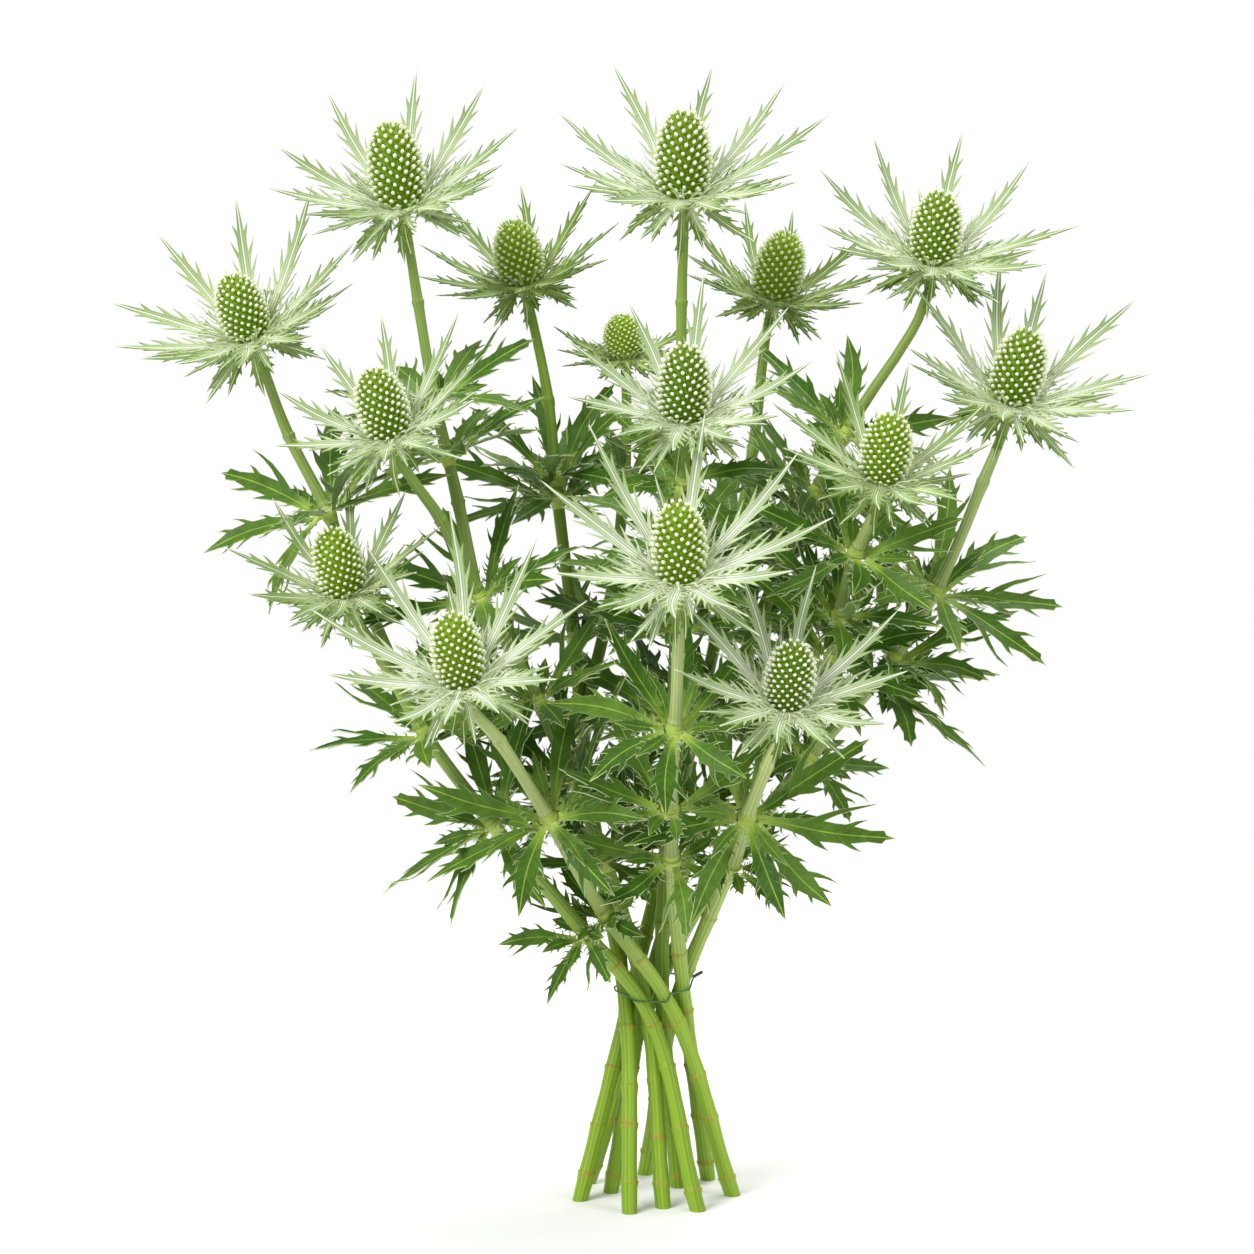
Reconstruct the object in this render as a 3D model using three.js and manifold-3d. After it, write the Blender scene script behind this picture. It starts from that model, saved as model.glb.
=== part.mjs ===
// A spiral-tied bunch of cut sea holly: ten leafy stems standing on their level-cut feet, crossing
// at a thin wire tie and fanning out above it to fifteen thistle-like heads and one young bud.
// Millimetres and degrees, +Z up, the front of the bunch towards -Y.
import * as THREE from "three";
import Module from "manifold-3d";
import { mergeVertices } from "three/addons/utils/BufferGeometryUtils.js";

const wasm = await Module();
wasm.setup();

// ---------- driving dimensions ----------
const STEM = { footRadius: 3.8, neckRadius: 2.7, neckHeight: 420, sides: 5, ringStep: 64 };
const NODE = { swell: 0.9, halfHeight: 3 }; // the thickened joint that leaves and forks grow from
const TIE = { height: 95, waistRadius: 14, wireRadius: 0.8, sides: 5, steps: 22, gap: 0.7, tail: 7 };
const TWIST = [[0, 1], [0.35, 1.5], [0.7, 1.1], [1, 1.3]]; // thickness along the tie's twisted ends
const FOOT_RING = { outer: 36, outerTurn: 66 }; // the lean of the spiral, from the waist down to the floor
const GAP = 0.35; // between solids that touch
const MIDDLE = { x: 12, y: 9 }; // from the middle of the spread to the middle of the tie
const CONE = { length: 37, radius: 9.8, widest: 0.38, footShare: 0.76, spike: 2.8, around: 12, rows: 8 };
const COLLAR = { wall: 1.6, height: 2.2, sides: 6, drop: 5 };
const KEEL = 1.3; // depth of a blade under its flat face

// ---------- growth rules ----------
// Half width of a blade at each share of its length: a forward tooth is a wide row, then a narrow one.
const BRACT_ROWS = [[0, 1.3], [0.38, 3.5], [0.41, 1.9], [0.64, 2.8], [0.67, 1.4]];
const SHORT_ROWS = [[0, 1.2], [0.48, 3.1], [0.52, 1.5]];
const SMALL_ROWS = [[0, 1.2], [0.35, 2.3]];
const LOBE_ROWS = [[0, 1.6], [0.38, 5.2], [0.42, 2.8], [0.63, 5.6], [0.67, 2.8]];
// Rings of bracts under a cone, from the top: how many, the height and radius of their roots, length
// and how much shorter at the front, rise, curl, first turn and ways to bend.
const RUFF = [
  {
    count: 10, height: 4.8, radius: 8.2, length: 61, shorter: 0.36, rise: 26, curl: 12,
    rows: BRACT_ROWS, from: 10, bends: [0, 7, 14, 21, 28],
  },
  {
    count: 5, height: 3.2, radius: 8.8, length: 43, shorter: 0.2, rise: 2, curl: 4,
    rows: SHORT_ROWS, from: 24, bends: [0, 5, -5],
  },
  {
    count: 5, height: 1.6, radius: 8.4, length: 26, shorter: 0, rise: -30, curl: -10,
    rows: SMALL_ROWS, from: 48, bends: [0, -8, -16, -24],
  },
];
const RUFF_TILT = 30; // the bracts face further forward than the cone
const LEAF = {
  rise: 14, tilt: 34, curl: -26, shorter: 0.12, fullLength: 50, rows: LOBE_ROWS,
  bends: [0, 8, -8, 16, -16, 26, -26, 36, -36],
};
// What a blade tries when its own place is taken: a turn, its bends and a shorter length.
const TURNS = [0, 6, -6, 12, -12, 18, -18];
const SHARES = [1, 0.85, 0.7, 0.55, 0.42, 0.3];
const SPINE_STEPS = 5;
const CLEAR = 0.7; // between blades, and from a blade to a stem or cone
const OWN_STEP = 1; // the first step of a spine that has to clear its own stem, head or whorl
const ROD_REACH = 28; // the longest half of a rod that can stand in a blade's way
// How far turn, rise and length may differ from blade to blade.
const BRACT_SPREAD = { turn: 6, rise: 4, length: 0.1 };
const LEAF_SPREAD = { turn: 8, rise: 9, length: 0.12 };
const BACK_LENGTH = 0.2; // blades at the back are longer by this share

// ---------- the plant ----------
// Heads: [x, y, z] of the receptacle, lean to the right, nod to the front, size of cone and of ruff.
const HEADS = {
  head_01: { at: [-114, 26, 446], lean: -9, nod: 10, cone: 1.02, ruff: 0.93 },
  head_02: { at: [-60, 74, 410], lean: -12, nod: 2, cone: 0.82, ruff: 0.76 },
  head_03: { at: [13, 12, 450], lean: -1, nod: 10, cone: 1.02, ruff: 1.0 },
  head_04: { at: [54, 70, 403], lean: 12, nod: 2, cone: 0.86, ruff: 0.74 },
  head_05: { at: [125, 16, 420], lean: 5, nod: 9, cone: 0.87, ruff: 0.89 },
  head_06: { at: [158, -8, 358], lean: 12, nod: 10, cone: 0.9, ruff: 0.98 },
  head_07: { at: [-179, 0, 387], lean: -19, nod: 10, cone: 0.8, ruff: 0.98 },
  head_08: { at: [-114, -42, 345], lean: -16, nod: 12, cone: 0.82, ruff: 0.82 },
  head_09: { at: [-14, 76, 376], lean: -4, nod: 0, cone: 0.54, ruff: 0.5 },
  head_10: { at: [13, -42, 352], lean: 0, nod: 12, cone: 0.88, ruff: 0.85 },
  head_11: { at: [98, -52, 326], lean: 8, nod: 13, cone: 0.8, ruff: 0.76 },
  head_12: { at: [-135, -34, 275], lean: -14, nod: 13, cone: 0.8, ruff: 0.74 },
  head_13: { at: [11, -86, 286], lean: -2, nod: 16, cone: 0.9, ruff: 0.97 },
  head_14: { at: [-82, -74, 240], lean: -9, nod: 17, cone: 0.84, ruff: 0.93 },
  head_15: { at: [56, -80, 231], lean: 7, nod: 17, cone: 0.77, ruff: 0.84 },
};
const BUD = { at: [73, 34, 304], lean: 10, nod: 0, cone: 0.55, slim: 0.6 };

// Stems: where each crosses the waist (angle from +X, outer ring) or its own foot and waist points,
// then the joints up to its head. A fork leaves its stem at a joint.
const STEMS = {
  stem_01: { waist: -71, path: [[-24, -21, 136], [-49, -43, 184], [-68, -62, 218]], head: "head_14" },
  stem_02: {
    waist: -123, path: [[-34, -20, 128], [-75, -32, 180], [-105, -31, 221], [-121, -31, 250]],
    head: "head_12",
    forks: [{ joint: 4, path: [[-131, -12, 277], [-149, -2, 317], [-165, 1, 348]], head: "head_07" }],
  },
  stem_03: {
    foot: [4, -25], cross: [-5, -4],
    path: [[-24, -7, 160], [-55, -13, 234], [-80, -18, 281], [-95, -28, 312]],
    head: "head_08",
    forks: [{ joint: 4, path: [[-89, 4, 318], [-101, 20, 367], [-108, 25, 408]], head: "head_01" }],
  },
  stem_04: {
    waist: -174, path: [[-25, 18, 150], [-34, 38, 214], [-38, 50, 256], [-46, 62, 320], [-50, 68, 362]],
    head: "head_02",
    forks: [{ joint: 3, path: [[-22, 56, 262], [-15, 68, 315]], head: "head_09" }],
  },
  stem_05: {
    waist: 134, path: [[9, 32, 170], [30, 50, 258], [46, 62, 340]], head: "head_04",
    forks: [{ joint: 3, path: [[56, 46, 284]], head: "bud" }],
  },
  stem_06: {
    foot: [-20, 2], cross: [-3.1, 5.2],
    path: [[24, 16, 178], [50, 22, 268], [71, 20, 317], [89, 17, 352]],
    head: "head_05",
  },
  stem_07: {
    waist: 83,
    path: [[27, 16, 142], [51, 10, 176], [73, 4, 205], [104, -2, 242], [128, -6, 282], [147, -8, 328]],
    head: "head_06",
    forks: [{ joint: 4, path: [[80, -20, 254], [87, -38, 294]], head: "head_11" }],
  },
  stem_08: {
    waist: 31, path: [[25, -6, 130], [36, -25, 160], [42, -45, 185], [49, -63, 207]], head: "head_15",
  },
  stem_09: {
    waist: -20, path: [[9, -26, 141], [7, -52, 190], [9, -71, 228], [10, -81, 258]], head: "head_13",
  },
  stem_10: {
    foot: [11, 12], cross: [3.5, 0.2], path: [[6, 3, 182], [10, 2, 264], [12, 0, 306], [13, -24, 333]],
    head: "head_10",
    forks: [{ joint: 4, path: [[12, 13, 358], [12, 14, 408]], head: "head_03" }],
  },
};

// Whorls of leaves: the stem (and fork) and the joint they clasp, how many lobes, their length, first turn.
const WHORLS = [
  { stem: "stem_01", joint: 3, lobes: 8, length: 52, turn: 10 },
  { stem: "stem_02", joint: 2, lobes: 6, length: 34, turn: 150 },
  { stem: "stem_02", joint: 3, lobes: 7, length: 52, turn: 175 },
  { stem: "stem_02", joint: 4, lobes: 7, length: 44, turn: 160 },
  { stem: "stem_02", fork: 0, joint: 2, lobes: 8, length: 56, turn: 170 },
  { stem: "stem_03", joint: 4, lobes: 8, length: 50, turn: 0 },
  { stem: "stem_03", fork: 0, joint: 2, lobes: 8, length: 46, turn: 20 },
  { stem: "stem_04", joint: 4, lobes: 7, length: 50, turn: 40 },
  { stem: "stem_04", joint: 5, lobes: 8, length: 50, turn: 165 },
  { stem: "stem_05", joint: 3, lobes: 8, length: 52, turn: 30 },
  { stem: "stem_06", joint: 5, lobes: 7, length: 44, turn: 100 },
  { stem: "stem_07", joint: 5, lobes: 7, length: 54, turn: -10 },
  { stem: "stem_07", joint: 6, lobes: 8, length: 54, turn: 15 },
  { stem: "stem_07", fork: 0, joint: 1, lobes: 8, length: 44, turn: 50 },
  { stem: "stem_08", joint: 4, lobes: 9, length: 56, turn: 5 },
  { stem: "stem_09", joint: 4, lobes: 8, length: 48, turn: 170 },
  { stem: "stem_10", joint: 2, lobes: 7, length: 46, turn: 30 },
  { stem: "stem_10", joint: 4, lobes: 7, length: 44, turn: 0 },
];

// ---------- small helpers ----------
const vec = (p) => new THREE.Vector3(p[0], p[1], p[2] ?? 0);
const along = (a, d, s) => a.clone().addScaledVector(d, s);
const rad = THREE.MathUtils.degToRad;
const clamp01 = (x) => Math.min(1, Math.max(0, x));

// A repeatable draw between -1 and 1.
function draw(seed) {
  const s = Math.sin(seed * 12.9898 + 4.1) * 43758.5453;
  return 2 * (s - Math.floor(s)) - 1;
}

// The frame of a stem's end or joint: its axis, then the directions to the back and to the right.
function frameOf(axis) {
  const up = axis.clone().normalize();
  const back = along(new THREE.Vector3(0, 1, 0), up, -up.y).normalize();
  const right = new THREE.Vector3().crossVectors(back, up);
  return { up, back, right };
}

// The same frame with its back raised, so that what spreads from it faces further forward.
function facing(frame, degrees) {
  const c = Math.cos(rad(degrees));
  const s = Math.sin(rad(degrees));
  const up = frame.up.clone().multiplyScalar(c).addScaledVector(frame.back, -s);
  const back = frame.back.clone().multiplyScalar(c).addScaledVector(frame.up, s);
  return { up, back, right: frame.right };
}

const headAxis = (h) => new THREE.Vector3(Math.tan(rad(h.lean)), -Math.tan(rad(h.nod)), 1).normalize();

// ---------- stem curves ----------
// A smooth curve through its points, which are its whole-number parameters.
function curveThrough(points, endDirection) {
  const gaps = points.slice(1).map((p, i) => p.distanceTo(points[i]));
  const slope = (i) => points[i + 1].clone().sub(points[i]).divideScalar(gaps[i]);
  const last = points.length - 1;
  const tangents = points.map((_, i) => {
    if (i === 0) return slope(0);
    if (i === last) return endDirection.clone();
    const before = gaps[i - 1];
    const after = gaps[i];
    const blend = slope(i - 1).multiplyScalar(after).addScaledVector(slope(i), before);
    return blend.divideScalar(before + after);
  });
  const at = (u) => {
    const i = Math.min(last - 1, Math.floor(u));
    const f = u - i;
    const point = points[i].clone().multiplyScalar(2 * f ** 3 - 3 * f ** 2 + 1);
    point.addScaledVector(points[i + 1], 3 * f ** 2 - 2 * f ** 3);
    point.addScaledVector(tangents[i], gaps[i] * (f ** 3 - 2 * f ** 2 + f));
    return point.addScaledVector(tangents[i + 1], gaps[i] * (f ** 3 - f ** 2));
  };
  const direction = (u) => {
    const d = 0.002;
    return at(Math.min(last, u + d)).sub(at(Math.max(0, u - d))).normalize();
  };
  return { at, direction, gaps, last };
}

// Foot, waist and joints of a stem, as points from the floor up.
function stemPoints(stem) {
  const joints = stem.path.map(vec);
  if (stem.foot) return [vec([...stem.foot, 0]), vec([...stem.cross, TIE.height]), ...joints];
  const waist = rad(stem.waist);
  const foot = rad(stem.waist + FOOT_RING.outerTurn);
  return [
    vec([FOOT_RING.outer * Math.cos(foot), FOOT_RING.outer * Math.sin(foot), 0]),
    vec([TIE.waistRadius * Math.cos(waist), TIE.waistRadius * Math.sin(waist), TIE.height]),
    ...joints,
  ];
}

const headOf = (name) => (name === "bud" ? BUD : HEADS[name]);

// The curve of a stem or fork, which ends square under its head.
function limb(points, headName) {
  const head = headOf(headName);
  const axis = headAxis(head);
  const end = along(vec(head.at), axis, -GAP);
  return curveThrough([...points, end], axis);
}

const radiusAt = (z) =>
  THREE.MathUtils.lerp(STEM.footRadius, STEM.neckRadius, clamp01(z / STEM.neckHeight));

// Rings of a limb: even steps, three close rings at each joint for its swelling, and one under the
// collar of its leaves. The top is a little wider, as the neck of a head is.
function stationsOf(curve, joints) {
  const stations = [];
  for (let i = 0; i < curve.last; i++) {
    const steps = Math.max(1, Math.round(curve.gaps[i] / STEM.ringStep));
    for (let k = 0; k < steps; k++) {
      if (k > 0 || !joints.includes(i)) stations.push({ u: i + k / steps, swell: 0 });
    }
  }
  stations.push({ u: curve.last, swell: 0.5 });
  for (const j of joints) {
    const up = NODE.halfHeight / curve.gaps[Math.floor(j)];
    const down = NODE.halfHeight / curve.gaps[Math.ceil(j) - 1];
    stations.push({ u: j - down, swell: 0 }, { u: j, swell: NODE.swell }, { u: j + up, swell: 0 });
    if (j > 1) stations.push({ u: j - (COLLAR.drop + COLLAR.height) / curve.gaps[j - 1], swell: 0 });
  }
  return stations.sort((a, b) => a.u - b.u);
}

// ---------- solids ----------
function solidOf(geometry) {
  const bare = geometry.index ? geometry.toNonIndexed() : geometry.clone();
  const plain = new THREE.BufferGeometry().setAttribute("position", bare.getAttribute("position"));
  const merged = mergeVertices(plain, 1e-4);
  return new wasm.Manifold(
    new wasm.Mesh({
      numProp: 3,
      vertProperties: new Float32Array(merged.attributes.position.array),
      triVerts: new Uint32Array(merged.index.array),
    }),
  );
}

function geometryOf(solid) {
  const mesh = solid.getMesh();
  return new THREE.BufferGeometry()
    .setAttribute("position", new THREE.BufferAttribute(mesh.vertProperties, 3))
    .setIndex(new THREE.BufferAttribute(mesh.triVerts, 1));
}

// Closes rings of equal count into a skin: a lid ends it, or a point where the last ring is one vertex.
function skin(rings) {
  const vertices = rings.flat();
  const triangles = [];
  const count = rings[0].length;
  for (let k = 1; k < count - 1; k++) triangles.push(0, k + 1, k);
  rings.slice(1).forEach((ring, r) => {
    const low = r * count;
    const high = low + count;
    for (let k = 0; k < count; k++) {
      const next = (k + 1) % count;
      if (ring.length === 1) triangles.push(low + k, low + next, high);
      else triangles.push(low + k, low + next, high + next, low + k, high + next, high + k);
    }
    if (r === rings.length - 2 && ring.length > 1)
      for (let k = 1; k < count - 1; k++) triangles.push(high, high + k, high + k + 1);
  });
  const geometry = new THREE.BufferGeometry().setFromPoints(vertices);
  return geometry.setIndex(triangles);
}

function ringAt(centre, axis, radius, sides, flatten) {
  const { right, back } = frameOf(axis);
  return Array.from({ length: sides }, (_, k) => {
    const a = (2 * Math.PI * k) / sides;
    const p = along(along(centre, right, radius * Math.cos(a)), back, radius * Math.sin(a));
    return flatten ? along(p, axis, -p.z / axis.z) : p;
  });
}

function limbSolid(curve, joints, isFork) {
  const rings = stationsOf(curve, joints).map(({ u, swell }) => {
    const centre = curve.at(u);
    const onFloor = u === 0 && !isFork;
    return ringAt(centre, curve.direction(u), radiusAt(centre.z) + swell, STEM.sides, onFloor);
  });
  return solidOf(skin(rings));
}

// A body that grows as one skin round an axis: points, triangles and rings of points in turn order.
class GrownSkin {
  constructor(centre, frame) {
    Object.assign(this, { centre, frame, points: [], triangles: [] });
  }

  add(point) {
    return this.points.push(point) - 1;
  }

  turnOf(index) {
    const out = this.points[index].clone().sub(this.centre);
    const turn = Math.atan2(out.dot(this.frame.back), out.dot(this.frame.right));
    return turn < 0 ? turn + 2 * Math.PI : turn;
  }

  ring(indexes) {
    const turned = indexes.map((index) => ({ index, turn: this.turnOf(index) }));
    const sorted = turned.sort((p, q) => p.turn - q.turn);
    const first = sorted[0];
    return [...sorted, { index: first.index, turn: first.turn + 2 * Math.PI }];
  }

  polygon(centre, radius, sides) {
    return ringAt(centre, this.frame.up, radius, sides).map((p) => this.add(p));
  }

  // The wall between two rings, facing out where the first is the lower one.
  wall(lowIndexes, highIndexes) {
    const low = this.ring(lowIndexes);
    const high = this.ring(highIndexes);
    let i = 0;
    let j = 0;
    while (i < low.length - 1 || j < high.length - 1) {
      const lowNext = low[i + 1]?.turn ?? Infinity;
      const highNext = high[j + 1]?.turn ?? Infinity;
      if (lowNext <= highNext) this.triangles.push(low[i].index, low[++i].index, high[j].index);
      else this.triangles.push(low[i].index, high[j + 1].index, high[j++].index);
    }
  }

  lid(indexes, centre, facingUp) {
    const middle = this.add(centre);
    const ring = this.ring(indexes);
    for (let i = 1; i < ring.length; i++) {
      const [p, q] = facingUp ? [i - 1, i] : [i, i - 1];
      this.triangles.push(middle, ring[p].index, ring[q].index);
    }
  }

  // A flat-faced blade along its spine, keeled below, with its teeth as rows of changing width.
  // Its root is the triangle of corners that it leaves open in the skin.
  blade(root, blade) {
    if (!blade) {
      this.triangles.push(...root);
      return;
    }
    const { spine, side, rows, scale } = blade;
    const steps = spine.length - 1;
    let low = root;
    for (const [share, half] of rows.slice(1)) {
      const step = Math.min(steps - 1, Math.floor(share * steps));
      const centre = spine[step].clone().lerp(spine[step + 1], share * steps - step);
      const onward = spine[step + 1].clone().sub(spine[step]).normalize();
      const under = new THREE.Vector3().crossVectors(onward, side).normalize();
      const high = [
        this.add(along(centre, side, half * scale)),
        this.add(along(centre, under, KEEL * (1 - 0.4 * share))),
        this.add(along(centre, side, -half * scale)),
      ];
      const [right, keel, left] = low;
      const [rightOn, keelOn, leftOn] = high;
      // All three faces are split the same way, so that a twisted blade keeps its thickness.
      this.triangles.push(right, keel, keelOn, right, keelOn, rightOn);
      this.triangles.push(keel, left, leftOn, keel, leftOn, keelOn);
      this.triangles.push(left, right, leftOn, right, rightOn, leftOn);
      low = high;
    }
    const tip = this.add(spine[steps]);
    low.forEach((corner, k) => this.triangles.push(corner, low[(k + 1) % 3], tip));
  }

  // The open roots of a ring of blades, and the strips of wall between them.
  roots(centre, count, from, radius, halfWidth, depth) {
    const { up, right, back } = this.frame;
    const roots = Array.from({ length: count }, (_, k) => {
      const turn = rad(from + (360 * k) / count);
      const out = right.clone().multiplyScalar(Math.cos(turn)).addScaledVector(back, Math.sin(turn));
      const side = new THREE.Vector3().crossVectors(out, up);
      const middle = along(centre, out, radius);
      const low = along(middle, up, -depth);
      return [along(middle, side, halfWidth), low, along(middle, side, -halfWidth)].map((p) => this.add(p));
    });
    roots.forEach((root, k) => {
      const next = roots[(k + 1) % count];
      this.triangles.push(root[1], next[1], next[0], root[1], next[0], root[2]);
    });
    return { roots, top: roots.flatMap((r) => [r[0], r[2]]), bottom: roots.map((r) => r[1]) };
  }

  geometry() {
    return new THREE.BufferGeometry().setFromPoints(this.points).setIndex(this.triangles);
  }
}

// Radius of a cone at a share of its height: narrower at its foot, with a round top.
function coneRadius(size, t) {
  const { radius, widest, footShare } = CONE;
  const below = 1 - (1 - footShare) * (1 - t / widest) ** 2;
  const above = Math.sqrt(1 - ((t - widest) / (1 - widest)) ** 2);
  return radius * Math.sqrt(size) * (t < widest ? below : above);
}

// A head's cone sits in its ruff, and the bud's straight on its stem.
const seatOf = (head) => along(vec(head.at), headAxis(head), head.ruff ? RUFF[0].height + GAP : 0);

// How far a floret stands out: less at the foot of the cone, where the ruff holds it.
const spikeAt = (t) => CONE.spike * Math.min(1, 0.4 + 2.5 * t);

// A cone packed with florets: one vertex in three of its skin stands out and up as a spiky bud.
function coneGeometry(head) {
  const start = seatOf(head);
  const slim = head.slim ?? 1;
  const { up, right, back } = frameOf(headAxis(head));
  const length = CONE.length * head.cone;
  const rings = [];
  for (let row = 0; row < CONE.rows; row++) {
    const t = row / CONE.rows;
    const radius = coneRadius(head.cone, t);
    rings.push(
      Array.from({ length: CONE.around }, (_, k) => {
        const a = (2 * Math.PI * (k + (row % 2) * 0.5)) / CONE.around;
        const isFloret = row > 0 && (k + row - (row >> 1)) % 3 === 0;
        const raised = isFloret ? spikeAt(t) : 0;
        const r = (radius + raised) * slim;
        const p = along(start, up, length * t + raised * t);
        return along(along(p, right, r * Math.cos(a)), back, r * Math.sin(a));
      }),
    );
  }
  rings.push([along(start, up, length)]);
  return skin(rings);
}

// ---------- keeping blades clear of each other ----------
// Space is taken by rods: each has an oval section, as wide as a blade and as thin as its keel.
const taken = []; // rods {a, b, wide, thin, side, owner, middle}

// wide holds one half width for each step from point to point.
function take(points, wide, thin, side, owner) {
  for (let i = 1; i < points.length; i++) {
    const a = points[i - 1];
    const b = points[i];
    taken.push({ a, b, wide: wide[i - 1], thin, side, owner, middle: a.clone().lerp(b, 0.5) });
  }
}

// The shortest way from segment a-b to segment p-q.
function shortestWay(p, q, a, b) {
  const d1 = q.clone().sub(p);
  const d2 = b.clone().sub(a);
  const w = p.clone().sub(a);
  const aa = d1.dot(d1);
  const ee = d2.dot(d2);
  const bb = d1.dot(d2);
  const cc = d1.dot(w);
  const ff = d2.dot(w);
  const den = aa * ee - bb * bb;
  let s = den > 1e-9 ? clamp01((bb * ff - cc * ee) / den) : 0;
  let t = (bb * s + ff) / ee;
  if (t < 0) s = clamp01(-cc / aa);
  if (t > 1) s = clamp01((bb - cc) / aa);
  t = clamp01(t);
  return along(p, d1, s).sub(along(a, d2, t));
}

// How far an oval section reaches in a direction.
function reachOf(wide, thin, side, direction) {
  const across = side ? direction.dot(side) ** 2 : 1;
  return Math.sqrt(wide * wide * across + thin * thin * (1 - Math.min(1, across)));
}

const outOf = (frame, turn) =>
  frame.right.clone().multiplyScalar(Math.cos(rad(turn))).addScaledVector(frame.back, Math.sin(rad(turn)));

// The spine of a blade that sets out at a turn and rise, bending by its curl.
function spineFrom(start, frame, turn, rise, curl, length) {
  const out = outOf(frame, turn);
  const side = new THREE.Vector3().crossVectors(out, frame.up);
  const spine = [start];
  for (let i = 0; i < SPINE_STEPS; i++) {
    const e = rad(rise + curl * ((i + 0.5) / SPINE_STEPS - 0.4));
    const step = out.clone().multiplyScalar(Math.cos(e)).addScaledVector(frame.up, Math.sin(e));
    spine.push(along(spine[i], step, length / SPINE_STEPS));
  }
  return { spine, side };
}

// Half width of a blade at a share of its length, and the most of it along one step of the spine.
function widthAt(rows, share) {
  const k = rows.findIndex(([s]) => s > share);
  const [s1, w1] = k < 0 ? [1, 0] : rows[k];
  const [s0, w0] = k < 0 ? rows[rows.length - 1] : rows[k - 1];
  return w0 + ((w1 - w0) * (share - s0)) / (s1 - s0);
}

function widestOf(rows, scale, step) {
  const from = step / SPINE_STEPS;
  const to = (step + 1) / SPINE_STEPS;
  const inside = rows.filter(([s]) => s > from && s < to).map(([, w]) => w);
  return scale * Math.max(widthAt(rows, from), to < 1 ? widthAt(rows, to) : 0, ...inside);
}

// Whether a spine clears all rods near it, its own ones only from where it has left its root.
function isClear(spine, side, wide, own, near) {
  for (const rod of near) {
    for (let i = own.includes(rod.owner) ? OWN_STEP : 0; i < SPINE_STEPS; i++) {
      const way = shortestWay(spine[i], spine[i + 1], rod.a, rod.b);
      const gap = way.length();
      if (gap > wide[i] + rod.wide + CLEAR) continue;
      if (gap < CLEAR) return false;
      way.divideScalar(gap);
      const reach = reachOf(wide[i], KEEL, side, way) + reachOf(rod.wide, rod.thin, rod.side, way);
      if (gap < reach + CLEAR) return false;
    }
  }
  return true;
}

// Ways to bend a blade clear, the smallest change first.
const costOf = (w) => Math.abs(w.turn) / 7 + Math.abs(w.rise) / 8 + (1 - w.share) * 14;

function waysWith(bends) {
  const shorter = (turn, rise) => SHARES.map((share) => ({ turn, rise, share }));
  const ways = TURNS.flatMap((turn) => bends.flatMap((rise) => shorter(turn, rise)));
  return ways.sort((a, b) => costOf(a) - costOf(b) || a.turn - b.turn || a.rise - b.rise);
}

// Blades at the back are longer and those at the front shorter.
const lengthAt = (toBack, shorter) => 1 + BACK_LENGTH * clamp01(toBack) - shorter * clamp01(-toBack);

// Places one blade clear of all that is there, or returns nothing if there is no room.
function placeBlade({ root, frame, spread, reach, slot, turn, rise, bends, curl, length, rows, scale, own }) {
  const wide = Array.from({ length: SPINE_STEPS }, (_, i) => widestOf(rows, scale, i));
  const near = taken.filter((rod) => root.distanceTo(rod.middle) < reach + length + ROD_REACH);
  const start = along(root, outOf(frame, slot), reach);
  for (const way of waysWith(bends)) {
    const [t, r, l] = [turn + way.turn, rise + way.rise, length * way.share];
    const { spine, side } = spineFrom(start, spread, t, r, curl, l);
    if (!isClear(spine, side, wide, own, near)) continue;
    take(spine, wide, KEEL, side, own[0]);
    return { spine, side, rows, scale };
  }
  return null;
}

// ---------- the tie ----------
// A leaning stem crosses the level of the tie in an oval: its furthest point in a level direction.
function stemEdge(curve, out) {
  const lean = curve.direction(1);
  const drift = new THREE.Vector3(lean.x, lean.y, 0).divideScalar(lean.z);
  const reach = out.clone().addScaledVector(drift, out.dot(drift));
  return along(curve.at(1), reach, radiusAt(TIE.height) / Math.sqrt(reach.dot(out)));
}

// A wire loop drawn round the outermost stems where they cross, with its ends twisted off to the right.
function tieSolid(curves) {
  const loop = Array.from({ length: TIE.steps }, (_, k) => {
    const a = (2 * Math.PI * k) / TIE.steps;
    const out = new THREE.Vector3(Math.cos(a), Math.sin(a), 0);
    const edges = curves.map((curve) => stemEdge(curve, out));
    const outermost = edges.reduce((p, q) => (p.dot(out) > q.dot(out) ? p : q));
    return along(outermost, out, TIE.gap + TIE.wireRadius);
  });
  const upward = new THREE.Vector3(0, 0, 1);
  const rings = loop.map((p, k) => {
    const before = loop[(k + TIE.steps - 1) % TIE.steps];
    const onward = loop[(k + 1) % TIE.steps].clone().sub(before).normalize();
    const out = new THREE.Vector3().crossVectors(onward, upward);
    return Array.from({ length: TIE.sides }, (_, i) => {
      const a = (2 * Math.PI * i) / TIE.sides;
      return along(along(p, out, TIE.wireRadius * Math.cos(a)), upward, TIE.wireRadius * Math.sin(a));
    });
  });
  const triangles = rings.flatMap((_, r) => {
    const low = r * TIE.sides;
    const high = ((r + 1) % TIE.steps) * TIE.sides;
    return Array.from({ length: TIE.sides }, (_, i) => {
      const next = (i + 1) % TIE.sides;
      return [low + i, high + next, low + next, low + i, high + i, high + next];
    }).flat();
  });
  const hoop = solidOf(new THREE.BufferGeometry().setFromPoints(rings.flat()).setIndex(triangles));
  const lean = new THREE.Vector3(0.75, -0.35, 0.5).normalize();
  const tail = TWIST.map(([share, wide]) =>
    ringAt(along(loop[0], lean, TIE.tail * share), lean, TIE.wireRadius * wide, TIE.sides));
  return hoop.add(solidOf(skin(tail)));
}

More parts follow.
